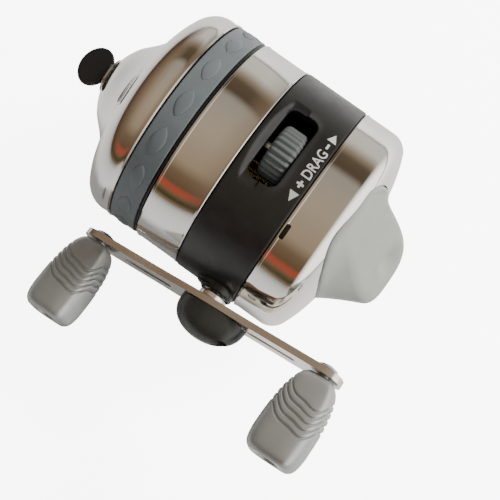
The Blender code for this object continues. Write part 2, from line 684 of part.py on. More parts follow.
def cap_screw():
    profile = [(0, 42.2), (0.9, 42.2), (0.9, 47.3), (2.0, 47.3), (2.0, 48.6), (0, 48.6)]
    screw = turned("cap_screw", profile, "machined_steel", 14, CAP_SCREW)
    cut(screw, block("drive", (-1.6, 48.1, -0.3), (1.6, 50, 0.3), "machined_steel", CAP_SCREW))
    return screw


def grip_spindle(name, frame):
    """Riveted pin: its head is on the arm's inner side, its shank carries the grip."""
    r, inner = SPINDLE_RADIUS / MM, ARM_INNER / MM
    profile = [(0, inner - 1.7), (2.4, inner - 1.7), (3.8, inner - 0.9), (3.8, inner - 0.3),
               (r, inner - 0.3), (r, inner + 26.0), (0, inner + 26.0)]
    return turned(name, profile, "machined_steel", 18, frame)


def grip(name, frame):
    """Rounded paddle with a stepped bore for its spindle and nut."""
    start = (ARM_INNER + ARM_THICK) / MM + 0.6
    end = start + GRIP_LENGTH / MM
    edit = bmesh.new()
    rings = []
    stations = ((0.0, 4.2, 4.0), (0.06, 5.6, 5.0), (0.22, 7.6, 6.2), (0.5, 8.6, 6.8), (0.8, 8.6, 6.8),
                (0.95, 7.9, 6.1), (1.0, 6.6, 4.9))
    for share, half_x, half_z in stations:
        along = start + (end - start) * share
        outline = superellipse(half_x, half_z, 0, 3.2, 20)
        rings.append([edit.verts.new((x * MM, along * MM, z * MM)) for x, z in outline])
    for here, after in zip(rings, rings[1:]):
        for k in range(len(here)):
            nxt = (k + 1) % len(here)
            edit.faces.new((here[k], here[nxt], after[nxt], after[k]))
    edit.faces.new(rings[0])
    edit.faces.new(rings[-1])
    made = finish(name, edit, "grey_plastic", frame)
    cut(made, disc("bore", SPINDLE_RADIUS / MM + 0.3, start - 2, end + 2, "grey_plastic", 20, frame))
    cut(made, disc("nut_room", 3.6, end - 6.5, end + 2, "grey_plastic", 24, frame))
    return made


def grip_nut(name, frame):
    """Nut on the spindle's end, inside the grip's outer hole."""
    start = ARM_INNER / MM + ARM_THICK / MM + 0.6 + GRIP_LENGTH / MM - 6.2
    r = SPINDLE_RADIUS / MM + 0.15
    return ring(name, r, 3.2, start, start + 2.4, "machined_steel", 18, frame)


# ---- assembly ---------------------------------------------------------------------------
def build_fixed():
    body_belt()
    rear_cover()
    front_sleeve()
    cover_seal()
    grip_ring()
    nose_cone_cover()
    line_guide_ring()
    reel_foot()
    foot_screws()
    deck_plate()
    deck_screws()
    pawl_pivot()
    bearing, sleeve = BEARING_RADIUS / MM, SLEEVE_RADIUS / MM + 0.3
    ring("pinion_bearing", sleeve, bearing, 13.2, 16.8, "machined_steel")
    ring("pinion_bushing", sleeve, bearing, 31.5, 35.0, "brass")
    shaft = CRANK_SHAFT_RADIUS / MM + 0.3
    ring("crank_bushing", shaft, bearing, 14.5, 19.0, "brass", 24, OUTWARD)
    ring("crank_bearing", shaft, bearing, 35.0, 38.6, "machined_steel", 24, OUTWARD)
    ring("spool_clip", 9.3, 12.5, 34.0, 34.8, "machined_steel", 20)


def build_spool_and_drag():
    spool_axis = pivot("spool_axis", (0, 27 * MM, AXIS_HEIGHT))
    hang([spool(), wound_line()], spool_axis)
    drag_axis = pivot("drag_nut_axis", (0, 17 * MM, AXIS_HEIGHT))
    washers = [ring("drag_washer", 9.3, 18.0, 18.3, 19.0, "machined_steel", 24),
               ring("felt_washer", 9.3, 18.0, 19.3, 20.1, "felt", 24)]
    hang([drag_gear()] + washers, drag_axis)
    wheel_axis = pivot("drag_wheel_axis", (0, 1.1 * MM, AXIS_HEIGHT + DRAG_HEIGHT))
    spindle = disc("drag_spindle", 1.6, -8.6, 18.6, "machined_steel", 16, at(0, DRAG_HEIGHT / MM))
    hang([drag_wheel(), spindle, drag_pinion()], wheel_axis)


def build_pickup():
    pinion_axis = pivot("pinion_axis", (0, 8.4 * MM, AXIS_HEIGHT))
    hang([pinion_gear(), anti_reverse_ratchet()], pinion_axis)
    head_slide = pivot("head_slide", (0, 40 * MM, AXIS_HEIGHT), parent=pinion_axis)
    clip = ring("spring_clip", CENTRE_SHAFT_RADIUS / MM + 0.15, 3.0, -16.2, -15.3, "machined_steel", 18)
    shaft = disc("centre_shaft", CENTRE_SHAFT_RADIUS / MM, -23.5, 46.0, "machined_steel", 20)
    nut = ring("head_nut", CENTRE_SHAFT_RADIUS / MM + 0.15, 4.0, 42.2, 44.6, "brass", 18)
    hang([shaft, pickup_head(), nut, clip, return_spring()], head_slide)
    pin_slide = pivot("pin_slide", (30 * MM, 36 * MM, AXIS_HEIGHT), parent=head_slide)
    hang([pickup_pin()], pin_slide)
    px, pz = PAWL_PIVOT
    hang([anti_reverse_pawl()], pivot("pawl_axis", (px * MM, 11.7 * MM, AXIS_HEIGHT + pz * MM)))


def build_controls():
    hang([thumb_button()], pivot("button_slide", (0, -35 * MM, AXIS_HEIGHT)))
    hang([line_keeper_plug()], pivot("plug_slide", (0, 64 * MM, AXIS_HEIGHT)))


def build_crank():
    crank_axis = pivot("crank_axis", (0, CRANK_Y, AXIS_HEIGHT), (-CRANK_TILT, 0, 0))
    shaft = disc("crank_shaft", CRANK_SHAFT_RADIUS / MM, 7.0, 48.0, "machined_steel", 20, OUTWARD)
    collar = ring("crank_collar", CRANK_SHAFT_RADIUS / MM + 0.3, 4.6, 39.5, 41.5, "polished_steel", 28, OUTWARD)
    pieces = [shaft, collar, drive_gear(), crank_arm(), handle_nut(), nut_cap(), cap_screw()]
    pieces += [grip_spindle("front_grip_spindle", FRONT_END), grip_spindle("rear_grip_spindle", REAR_END)]
    pieces += [grip_nut("front_grip_nut", FRONT_END), grip_nut("rear_grip_nut", REAR_END)]
    hang(pieces, crank_axis)
    for side, frame in (("front", FRONT_END), ("rear", REAR_END)):
        grip_axis = pivot(side + "_grip_axis", frame.translation, (-CRANK_TILT, 0, 0), crank_axis)
        hang([grip(side + "_grip", frame)], grip_axis)


def main():
    clear_scene()
    build_fixed()
    build_spool_and_drag()
    build_pickup()
    build_controls()
    build_crank()


main()
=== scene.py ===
"""Spincast fishing reel: its finished look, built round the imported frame.

Everything is in metres.  The main axis runs along +Y to the line exit, +Z is up
and the crank is on the -X side.
"""
import json
import math

import bmesh
import bpy
from bpy.props import FloatProperty, FloatVectorProperty, IntProperty, PointerProperty
from mathutils import Matrix, Vector


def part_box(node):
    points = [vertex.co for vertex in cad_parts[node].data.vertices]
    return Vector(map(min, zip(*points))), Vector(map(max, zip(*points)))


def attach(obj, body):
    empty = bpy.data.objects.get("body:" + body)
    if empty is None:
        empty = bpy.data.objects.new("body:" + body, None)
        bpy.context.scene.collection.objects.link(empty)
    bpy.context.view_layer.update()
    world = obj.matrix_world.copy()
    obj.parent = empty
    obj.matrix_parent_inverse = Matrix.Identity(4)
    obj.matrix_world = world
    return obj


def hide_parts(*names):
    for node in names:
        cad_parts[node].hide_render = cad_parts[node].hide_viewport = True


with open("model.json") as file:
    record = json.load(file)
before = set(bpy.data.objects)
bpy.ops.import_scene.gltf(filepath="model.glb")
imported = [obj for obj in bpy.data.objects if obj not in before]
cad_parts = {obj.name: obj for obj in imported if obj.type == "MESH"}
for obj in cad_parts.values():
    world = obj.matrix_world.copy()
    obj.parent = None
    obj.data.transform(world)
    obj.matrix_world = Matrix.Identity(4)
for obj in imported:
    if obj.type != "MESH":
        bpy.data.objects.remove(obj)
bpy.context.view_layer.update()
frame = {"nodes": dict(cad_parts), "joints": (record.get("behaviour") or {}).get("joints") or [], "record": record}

bl_info = {
    "name": "Spincast Reel",
    "version": (1, 0, 0),
    "blender": (4, 5, 0),
    "location": "3D View > Sidebar > Reel",
    "description": "Builds the finished look of a spincast fishing reel",
    "category": "Object",
}

MM = 0.001
JOINTS = {joint["name"]: joint for joint in frame["joints"]}


def joint_point(name):
    return Vector(JOINTS[name]["pos_m"])


AXIS_HEIGHT = joint_point("pinion_spin").z
MAIN = Matrix.Translation((0, 0, AXIS_HEIGHT))
WHEEL = Matrix.Translation((0, 0, joint_point("drag_wheel_turn").z))
CRANK_POINT = joint_point("crank_spin")
FRONT_POINT = joint_point("front_grip_spin")
REAR_POINT = joint_point("rear_grip_spin")
ARM_DIRECTION = (FRONT_POINT - REAR_POINT).normalized()


def crank_frame(along=0.0):
    """Local X runs along the arm to its front end, local Y outward, local Z up."""
    side = Vector((-1, 0, 0))
    up = ARM_DIRECTION.cross(side)
    place = Matrix((ARM_DIRECTION, side, up)).transposed().to_4x4()
    place.translation = Vector((0, CRANK_POINT.y, CRANK_POINT.z)) + ARM_DIRECTION * along
    return place


HALF_SPACING = (FRONT_POINT - REAR_POINT).length / 2
CRANK = crank_frame()
FRONT_END = crank_frame(HALF_SPACING)
REAR_END = crank_frame(-HALF_SPACING)
CAP_SCREW = crank_frame(-11.0 * MM)
# the shaft's own frame, level with the body
OUTWARD = Matrix.Translation((0, CRANK_POINT.y, CRANK_POINT.z)) @ Matrix.Rotation(math.pi / 2, 4, "Z")


# ---- sizes and colours a user may change ------------------------------------
class ReelSizes(bpy.types.PropertyGroup):
    belt_radius: FloatProperty(
        name="Belt Radius", description="Outside radius of the black belt", subtype="DISTANCE",
        unit="LENGTH", default=37.0 * MM, min=0.02, max=0.06)
    nub_count: IntProperty(
        name="Nubs", description="Raised nubs round the grip ring", default=17, min=6, max=40)
    nub_height: FloatProperty(
        name="Nub Height", description="How far a nub stands out of the grip ring", subtype="DISTANCE",
        unit="LENGTH", default=0.5 * MM, min=0.0, max=0.001)
    wheel_ridges: IntProperty(
        name="Wheel Ridges", description="Ridges round the drag wheel", default=26, min=10, max=60)
    groove_depth: FloatProperty(
        name="Groove Depth", description="Depth of the finger grooves in the grips", subtype="DISTANCE",
        unit="LENGTH", default=0.55 * MM, min=0.0, max=0.0015)
    dish_depth: FloatProperty(
        name="Dish Depth", description="Depth of the thumb dish in the button", subtype="DISTANCE",
        unit="LENGTH", default=1.3 * MM, min=0.0, max=0.003)
    turn_steps: IntProperty(
        name="Turning Steps", description="Facets round the large turned pieces",
        default=192, min=48, max=360)


def colour_property(name, description, default):
    return FloatVectorProperty(name=name, description=description, subtype="COLOR", size=3,
                               default=default, min=0.0, max=1.0)


class ReelColours(bpy.types.PropertyGroup):
    polished_steel: colour_property("Polished Steel", "Covers and crank arm", (0.83, 0.80, 0.75))
    belt_black: colour_property("Belt Black", "Paint of the belt and foot", (0.013, 0.013, 0.012))
    ring_grey: colour_property("Ring Grey", "Rubber of the grip ring", (0.140, 0.155, 0.160))
    grip_grey: colour_property("Grip Grey", "Satin paint of the grips", (0.40, 0.405, 0.39))
    wheel_grey: colour_property("Wheel Grey", "Plastic of the drag wheel", (0.115, 0.125, 0.120))
    button_grey: colour_property("Button Grey", "Plastic of the thumb button", (0.37, 0.38, 0.345))
    cap_black: colour_property("Cap Black", "Plastic of the nut cap", (0.030, 0.032, 0.027))
    plug_black: colour_property("Plug Black", "Rubber of the line plug", (0.006, 0.006, 0.006))
    print_white: colour_property("Print White", "Printed drag marks", (0.62, 0.60, 0.55))


# ---- materials --------------------------------------------------------------
def shader_nodes(name, metallic):
    """A new material's node tree, its shader and an Object coordinate source."""
    made = bpy.data.materials.new(name)
    made.use_nodes = True
    tree = made.node_tree
    shader = tree.nodes["Principled BSDF"]
    shader.inputs["Metallic"].default_value = metallic
    place = tree.nodes.new("ShaderNodeTexCoord").outputs["Object"]
    return made, tree, shader, place


def add_noise(tree, place, scale, detail=4.0, stretch=(1, 1, 1)):
    """Noise over the piece; stretch squeezes the pattern along X, Y and Z."""
    turn = tree.nodes.new("ShaderNodeMapping")
    turn.inputs["Scale"].default_value = stretch
    noise = tree.nodes.new("ShaderNodeTexNoise")
    noise.inputs["Scale"].default_value = scale
    noise.inputs["Detail"].default_value = detail
    tree.links.new(place, turn.inputs["Vector"])
    tree.links.new(turn.outputs["Vector"], noise.inputs["Vector"])
    return noise.outputs["Fac"]


def add_range(tree, value, low, high, from_low=0.3, from_high=0.7):
    spread = tree.nodes.new("ShaderNodeMapRange")
    for socket, number in (("From Min", from_low), ("From Max", from_high),
                           ("To Min", low), ("To Max", high)):
        spread.inputs[socket].default_value = number
    tree.links.new(value, spread.inputs["Value"])
    return spread.outputs["Result"]


def add_tint(tree, share, dark, light):
    """A colour between two, chosen by share.  Each is a socket or plain numbers."""
    mix = tree.nodes.new("ShaderNodeMix")
    mix.data_type = "RGBA"
    tree.links.new(share, mix.inputs["Factor"])
    for name, colour in (("A", dark), ("B", light)):
        if isinstance(colour, bpy.types.NodeSocket):
            tree.links.new(colour, mix.inputs[name])
        else:
            mix.inputs[name].default_value = (*colour, 1.0)
    return mix.outputs["Result"]


def add_bump(tree, shader, height, distance, strength=1.0):
    bump = tree.nodes.new("ShaderNodeBump")
    bump.inputs["Distance"].default_value = distance
    bump.inputs["Strength"].default_value = strength
    earlier = shader.inputs["Normal"].links
    if earlier:
        tree.links.new(earlier[0].from_socket, bump.inputs["Normal"])
    tree.links.new(height, bump.inputs["Height"])
    tree.links.new(bump.outputs["Normal"], shader.inputs["Normal"])


def shaded(colour, factor):
    return tuple(min(1.0, max(0.0, part * factor)) for part in colour)


def moulded_surface(name, colour, roughness, grain, grain_depth, metallic=0.0, spread=0.12):
    """Plastic, rubber or paint: mottled tone, uneven gloss and a fine moulded grain."""
    made, tree, shader, place = shader_nodes(name, metallic)
    tone = add_range(tree, add_noise(tree, place, 90.0), 0.0, 1.0)
    tree.links.new(add_tint(tree, tone, shaded(colour, 1 - spread), shaded(colour, 1 + spread)),
                   shader.inputs["Base Color"])
    gloss = add_noise(tree, place, 260.0, 6.0)
    tree.links.new(add_range(tree, gloss, roughness - 0.06, roughness + 0.06), shader.inputs["Roughness"])
    add_bump(tree, shader, add_noise(tree, place, grain, 3.0), grain_depth)
    return made


def turned_metal(name, colour, roughness, lines, line_depth, spread=0.06):
    """Metal with fine turning lines round the main axis, stains and uneven polish."""
    made, tree, shader, place = shader_nodes(name, 1.0)
    stain = add_range(tree, add_noise(tree, place, 45.0), 0.0, 1.0)
    tree.links.new(add_tint(tree, stain, shaded(colour, 1 - spread), shaded(colour, 1 + spread / 2)),
                   shader.inputs["Base Color"])
    smear = add_noise(tree, place, 70.0, 5.0, (1, 0.4, 1))
    tree.links.new(add_range(tree, smear, roughness * 0.75, roughness * 1.35), shader.inputs["Roughness"])
    rings = add_noise(tree, place, lines, 2.0, (0.02, 1.0, 0.02))
    add_bump(tree, shader, rings, line_depth)
    return made


def polished_steel():
    colours = bpy.context.scene.reel_colours
    return turned_metal("polished_steel", tuple(colours.polished_steel), 0.085, 1500.0, 0.0000035)


def moulded(name, shade, *looks, **extra):
    """A maker of a moulded material; shade is one of the reel's colours or plain numbers."""
    def make():
        colour = shade
        if isinstance(shade, str):
            colour = tuple(getattr(bpy.context.scene.reel_colours, shade))
        return moulded_surface(name, colour, *looks, **extra)
    return make


# after the colour: roughness, grain's scale and grain's depth
belt_paint = moulded("belt_paint", "belt_black", 0.36, 2600.0, 0.000012, spread=0.25)
ring_rubber = moulded("ring_rubber", "ring_grey", 0.50, 3200.0, 0.00002, spread=0.09)
grip_paint = moulded("grip_paint", "grip_grey", 0.34, 3000.0, 0.000010, metallic=0.55, spread=0.05)
# painted shade: a near-black colour for the bottoms of the grips' grooves, where shade falls
groove_paint = moulded("groove_paint", (0.018, 0.017, 0.015), 0.6, 3000.0, 0.00001, spread=0.2)
wheel_plastic = moulded("wheel_plastic", "wheel_grey", 0.42, 2800.0, 0.000012, spread=0.08)
button_plastic = moulded("button_plastic", "button_grey", 0.40, 3400.0, 0.00001, spread=0.035)
cap_plastic = moulded("cap_plastic", "cap_black", 0.30, 2400.0, 0.00001, spread=0.2)
plug_rubber = moulded("plug_rubber", "plug_black", 0.45, 2600.0, 0.000015, spread=0.3)
cast_alloy = moulded("cast_alloy", (0.50, 0.51, 0.52), 0.42, 1800.0, 0.00003, metallic=1.0)
drag_felt = moulded("drag_felt", (0.32, 0.28, 0.22), 0.9, 4200.0, 0.0001, spread=0.25)
printed_mark = moulded("printed_mark", "print_white", 0.5, 3000.0, 0.000004, spread=0.10)


def machined_steel():
    return turned_metal("machined_steel", (0.55, 0.55, 0.56), 0.24, 2600.0, 0.000006, 0.1)


def machined_brass():
    return turned_metal("machined_brass", (0.72, 0.53, 0.25), 0.27, 2400.0, 0.000006, 0.1)


def wound_line():
    """Clear line laid in close turns round the spool."""
    made, tree, shader, place = shader_nodes("wound_line", 0.0)
    split = tree.nodes.new("ShaderNodeSeparateXYZ")
    tree.links.new(place, split.inputs["Vector"])
    turns = tree.nodes.new("ShaderNodeMath")
    turns.operation = "SINE"
    scaled = tree.nodes.new("ShaderNodeMath")
    scaled.operation = "MULTIPLY"
    scaled.inputs[1].default_value = math.tau / (0.35 * MM)
    tree.links.new(split.outputs["Y"], scaled.inputs[0])
    tree.links.new(scaled.outputs["Value"], turns.inputs[0])
    add_bump(tree, shader, turns.outputs["Value"], 0.00005)
    tone = add_range(tree, add_noise(tree, place, 900.0), 0.0, 1.0)
    tree.links.new(add_tint(tree, tone, (0.45, 0.50, 0.44), (0.70, 0.74, 0.68)), shader.inputs["Base Color"])
    shader.inputs["Roughness"].default_value = 0.25
    return made


FINISHES = {}


def finish(maker):
    """The material a maker gives, made once."""
    if maker not in FINISHES:
        FINISHES[maker] = maker()
    return FINISHES[maker]


# ---- mesh helpers -----------------------------------------------------------
def rounded(points, radius, segments=4):
    """A closed (a, b) outline with its corners rounded.  A third value on a point
    overrides the radius, and 0 keeps that corner sharp."""
    result, count = [], len(points)
    for k, point in enumerate(points):
        size = point[2] if len(point) > 2 else radius
        here = Vector(point[:2])
        before = Vector(points[k - 1][:2]) - here
        after = Vector(points[(k + 1) % count][:2]) - here
        corner = before.angle(after) if before.length and after.length else math.pi
        if not size or corner > math.radians(176):
            result.append(tuple(here))
            continue
        cut = min(size / math.tan(corner / 2), before.length * 0.49, after.length * 0.49)
        first, last = here + before.normalized() * cut, here + after.normalized() * cut
        for j in range(segments + 1):
            share = j / segments
            bend = (1 - share) ** 2 * first + 2 * share * (1 - share) * here + share ** 2 * last
            result.append(tuple(bend))
    return result


def smooth_line(points, steps):
    """An open line of points passed through smoothly."""
    result = []
    for k in range(len(points) - 1):
        p0, p1 = Vector(points[max(k - 1, 0)]), Vector(points[k])
        p2, p3 = Vector(points[k + 1]), Vector(points[min(k + 2, len(points) - 1)])
        for j in range(steps):
            t = j / steps
            bend = (2 * p1 + (p2 - p0) * t + (2 * p0 - 5 * p1 + 4 * p2 - p3) * t * t
                    + (3 * p1 - p0 - 3 * p2 + p3) * t ** 3) / 2
            result.append(tuple(bend))
    result.append(tuple(points[-1]))
    return result


def arc(centre_r, centre_s, radius, start, stop, steps):
    """Points on an arc; degrees from +radius towards +along."""
    spots = []
    for k in range(steps + 1):
        angle = math.radians(start + (stop - start) * k / steps)
        spots.append((centre_r + radius * math.cos(angle), centre_s + radius * math.sin(angle)))
    return spots


def inner_line(line, wall):
    """Points one wall inside an open outer line that runs rear to front."""
    moved = []
    for k, (r, s) in enumerate(line):
        before, after = line[max(k - 1, 0)], line[min(k + 1, len(line) - 1)]
        dr, ds = after[0] - before[0], after[1] - before[1]
        length = math.hypot(dr, ds)
        moved.append((r - wall * ds / length, s + wall * dr / length))
    return moved


def turned(profile, steps, closed=True):
    """A bmesh spun about local Y from (radius, along) points in millimetres."""
    edit = bmesh.new()
    verts = [edit.verts.new((r * MM, s * MM, 0)) for r, s in profile]
    pairs = list(zip(verts, verts[1:])) + ([(verts[-1], verts[0])] if closed else [])
    edges = [edit.edges.new(pair) for pair in pairs]
    bmesh.ops.spin(edit, geom=verts + edges, cent=(0, 0, 0), axis=(0, 1, 0), dvec=(0, 0, 0),
                   angle=math.tau, steps=steps, use_merge=True, use_duplicate=False)
    bmesh.ops.remove_doubles(edit, verts=edit.verts, dist=1e-7)
    bmesh.ops.dissolve_degenerate(edit, edges=edit.edges, dist=1e-7)
    bmesh.ops.recalc_face_normals(edit, faces=edit.faces)
    return edit


def bulged(part, power):
    """A cosine or sine bent outward to a superellipse of that power."""
    return math.copysign(abs(part) ** (2 / power), part)


BUTTON_STEPS = 144
# the button's base in millimetres: half-widths, half-height, middle, and its corners' power
BASE_PLAIN_SIDE, BASE_CRANK_SIDE, BASE_HIGH, BASE_MIDDLE, BASE_POWER = 13.2, 22.4, 22.5, 12.5, 2.8


def button_base(grow):
    """The button's (x, z) outline where it leaves the cover, fuller on the crank's side."""
    spots = []
    for k in range(BUTTON_STEPS):
        c, s = math.cos(math.tau * k / BUTTON_STEPS), math.sin(math.tau * k / BUTTON_STEPS)
        half = (BASE_PLAIN_SIDE if c > 0 else BASE_CRANK_SIDE) + grow
        spots.append((bulged(c, BASE_POWER) * half,
                      bulged(s, BASE_POWER) * (BASE_HIGH + grow) + BASE_MIDDLE))
    return spots


def bar(edit, outline, rear, front):
    """Extrude an (x, z) outline in millimetres along local Y."""
    face = edit.faces.new([edit.verts.new((u * MM, rear * MM, v * MM)) for u, v in outline])
    grown = bmesh.ops.extrude_face_region(edit, geom=[face])
    lifted = [item for item in grown["geom"] if isinstance(item, bmesh.types.BMVert)]
    bmesh.ops.translate(edit, vec=(0, (front - rear) * MM, 0), verts=lifted)
    bmesh.ops.recalc_face_normals(edit, faces=edit.faces)
    return edit


def pin(radius, rear, front, steps=48):
    """A plain round cutting tool along local Y, in millimetres."""
    return turned([(0, rear), (radius, rear), (radius, front), (0, front)], steps, closed=False)


def loft(loops, capped=False):
    """A skin through rings of places, capped at both ends or joined end to end."""
    edit, count, begin = bmesh.new(), len(loops[0]), 0 if capped else 1
    ring = bmesh.ops.create_circle(edit, cap_ends=False, segments=count, radius=1.0)["verts"]

    def edges_round(verts):
        return [edit.edges.get((verts[k - 1], verts[k % count])) for k in range(begin, begin + count)]

    for vert, place in zip(ring, loops[0]):
        vert.co = place
    if capped:
        edit.faces.new(ring)
    edges = first_edges = edges_round(ring)
    for places in loops[1:]:
        grown = bmesh.ops.extrude_edge_only(edit, edges=edges)["geom"]
        fresh = {item for item in grown if isinstance(item, bmesh.types.BMVert)}
        ring = [next(e.other_vert(v) for e in v.link_edges if e.other_vert(v) in fresh) for v in ring]
        for vert, place in zip(ring, places):
            vert.co = place
        edges = edges_round(ring)
    if capped:
        edit.faces.new(ring)
    else:
        bmesh.ops.bridge_loops(edit, edges=edges + first_edges)
    bmesh.ops.recalc_face_normals(edit, faces=edit.faces)
    return edit


def shape(edit, name, place):
    """Turn a bmesh into an object, its place in its mesh."""
    bmesh.ops.transform(edit, matrix=place, verts=edit.verts)
    mesh = bpy.data.meshes.new(name)
    edit.to_mesh(mesh)
    edit.free()
    made = bpy.data.objects.new(name, mesh)
    bpy.context.scene.collection.objects.link(made)
    return made


def combine(target, tools, operation="DIFFERENCE"):
    """Cut or join placed bmeshes [(bmesh, place), ...] into a piece, for good."""
    for edit, place in tools:
        tool = shape(edit, "tool", place)
        step = target.modifiers.new("combine", "BOOLEAN")
        step.operation, step.solver, step.object = operation, "EXACT", tool
        bpy.context.view_layer.update()
        result = bpy.data.meshes.new_from_object(
            target.evaluated_get(bpy.context.evaluated_depsgraph_get()))
        target.modifiers.clear()
        old, target.data = target.data, result
        bpy.data.meshes.remove(old)
        bpy.data.objects.remove(tool, do_unlink=True)
    edit = bmesh.new()
    edit.from_mesh(target.data)
    bmesh.ops.remove_doubles(edit, verts=edit.verts, dist=1e-6)
    bmesh.ops.dissolve_degenerate(edit, edges=edit.edges, dist=1e-6)
    edit.to_mesh(target.data)
    edit.free()
    return target


def settle(made, body, stands_for, materials, sharp=32, round_edges=0.0):
    """Give a finished piece its shading, materials and place in the frame."""
    made.data.materials.clear()
    for material in materials:
        made.data.materials.append(material)
    made.data.shade_smooth()
    made.data.set_sharp_from_angle(angle=math.radians(sharp))
    if round_edges:
        soften = made.modifiers.new("round_edges", "BEVEL")
        soften.width, soften.segments = round_edges, 3
        soften.limit_method, soften.angle_limit = "ANGLE", math.radians(38)
        soften.harden_normals = False
    if stands_for:
        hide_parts(*stands_for)
    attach(made, body)
    return made


def lathe_piece(name, profile, place, body, material, steps=64, closed=True, sharp=32):
    """A turned piece that stands for the CAD node of the same name."""
    made = shape(turned(profile, steps, closed), name + "_fine", place)
    return settle(made, body, [name], [finish(material)], sharp)


def turn_to(degrees):
    """The main frame turned about its axis, from straight up towards +X."""
    return MAIN @ Matrix.Rotation(math.radians(degrees), 4, "Y")


# ---- covers -----------------------------------------------------------------
class REEL_OT_rear_cover(bpy.types.Operator):
    """Polished rear cover with the button's opening and the latch slot"""
    bl_idname = "reel.rear_cover"
    bl_label = "Rear Cover"

    def execute(self, context):
        steps = context.scene.reel_sizes.turn_steps
        lip = [(36.5, -11.2), (36.9, -11.35), (37.0, -11.7), (36.9, -12.1), (36.8, -12.5)]
        outer = lip + [(36.8, -16.0)] + arc(29.8, -21.5, 7.0, 0, -72, 20)
        outer += smooth_line([(31.96, -28.16), (28.4, -29.5), (22.0, -31.2), (13.0, -32.7),
                              (4.0, -33.4)], 4)[1:]
        inner = inner_line(outer[4:][::-1], 1.0)
        inner[-1] = (35.8, -11.2)
        profile = outer + [(0.0, -33.5), (0.0, inner[0][1])] + inner
        cover = shape(turned(profile, steps), "rear_cover_fine", MAIN)
        opening = bar(bmesh.new(), button_base(0.4), -60.0, -16.0)
        slot_outline = rounded([(-2.4, -0.5), (2.4, -0.5), (2.4, 0.5), (-2.4, 0.5)], 0.45)
        slot = bar(bmesh.new(), slot_outline, 34.0, 40.0)
        # the slot's tool is drawn along local Y, so it is turned to point outward
        upright = (turn_to(-31.5) @ Matrix.Translation((0, -12.6 * MM, 0))
                   @ Matrix.Rotation(math.pi / 2, 4, "X"))
        flare = bar(bmesh.new(), slot_outline, 36.3, 38.0)
        for vert in flare.verts:
            if vert.co.y > 37 * MM:
                vert.co.x *= 1.25
                vert.co.z *= 2.6
        combine(cover, [(opening, MAIN), (slot, upright), (flare, upright)])
        settle(cover, "reel_body", ["rear_cover"], [finish(polished_steel)])
        return {"FINISHED"}


class REEL_OT_front_sleeve(bpy.types.Operator):
    """Polished sleeve in front of the belt, and the black seal before it"""
    bl_idname = "reel.front_sleeve"
    bl_label = "Front Sleeve"

    def execute(self, context):
        steps = context.scene.reel_sizes.turn_steps
        sleeve = [(35.6, 11.2), (36.4, 11.2), (36.75, 11.35), (36.85, 11.65), (36.75, 12.0), (36.6, 12.3),
                  (36.6, 25.6), (36.72, 25.9), (36.8, 26.2), (36.72, 26.55), (36.5, 26.75), (35.6, 26.8)]
        lathe_piece("front_sleeve", sleeve, MAIN, "reel_body", polished_steel, steps)
        seal = rounded([(34.2, 27.1), (36.05, 27.1), (36.05, 27.8), (34.2, 27.8)], 0.2)
        lathe_piece("cover_seal", seal, MAIN, "reel_body", plug_rubber, steps)
        return {"FINISHED"}


class REEL_OT_nose_cover(bpy.types.Operator):
    """Polished nose cone, from its shoulder to the line hole"""
    bl_idname = "reel.nose_cover"
    bl_label = "Nose Cover"

    def execute(self, context):
        steps = context.scene.reel_sizes.turn_steps
        outer = [(36.2, 37.2), (36.7, 37.35), (36.85, 37.8), (36.7, 38.4)]
        outer += arc(28.6, 41.0, 8.0, -12, 56, 18)
        outer += smooth_line([(33.07, 47.63), (30.2, 49.2), (26.8, 50.6), (23.4, 51.7), (20.4, 53.4),
                              (17.8, 55.5), (15.6, 57.7), (13.6, 59.7), (10.8, 61.6), (8.2, 62.9),
                              (6.6, 63.4)], 4)[1:]
        outer += [(5.6, 63.5)]
        inner = inner_line(outer[4:], 1.1)[::-1]
        inner[0] = (5.6, 62.3)
        skirt = [(35.4, 38.8), (32.9, 38.6), (32.9, 22.0), (33.9, 22.0), (33.9, 37.2)]
        inner = [point for point in inner if point[1] > 39.4]
        lathe_piece("nose_cone_cover", outer + inner + skirt, MAIN, "reel_body",
                    polished_steel, steps)
        return {"FINISHED"}


class REEL_OT_grip_ring(bpy.types.Operator):
    """Grey rubber ring with lens-shaped nubs"""
    bl_idname = "reel.grip_ring"
    bl_label = "Grip Ring"

    nub_length, nub_width, nub_phase = 9.6, 4.4, 10.9

    def execute(self, context):
        sizes = context.scene.reel_sizes
        radius, height = 36.55, sizes.nub_height / MM
        profile = rounded([(34.3, 28.1), (radius, 28.1), (radius, 36.9), (34.3, 36.9)], 0.45, 5)
        ring = shape(turned(profile, sizes.turn_steps), "grip_ring_fine", MAIN)
        nubs = [(self.nub(radius, height), turn_to(self.nub_phase + 360.0 * k / sizes.nub_count))
                for k in range(sizes.nub_count)]
        combine(ring, nubs, "UNION")
        settle(ring, "reel_body", ["grip_ring"], [finish(ring_rubber)], sharp=26)
        return {"FINISHED"}

    def nub(self, radius, height):
        """A lemon-shaped body, flattened and bent round the ring."""
        half, wide = self.nub_length / 2, self.nub_width / 2
        curve = (half ** 2 - wide ** 2) / (2 * wide)
        limit = math.degrees(math.asin(half / (curve + wide)))
        lemon = arc(-curve, 0, curve + wide, -limit, limit, 24)
        lemon[0], lemon[-1] = (0.0, lemon[0][1]), (0.0, lemon[-1][1])
        edit = turned(lemon, 24, closed=False)
        for vert in edit.verts:
            across, along, up = vert.co.x, vert.co.y, vert.co.z
            # the pillow rises steeply at its edge and is nearly flat on top
            lift = math.copysign(abs(up / (wide * MM)) ** 0.62, up) * height * MM
            angle = along / (radius * MM)
            out = radius * MM + lift
            vert.co = (out * math.sin(angle), across + 32.5 * MM, out * math.cos(angle))
        bmesh.ops.recalc_face_normals(edit, faces=edit.faces)
        return edit


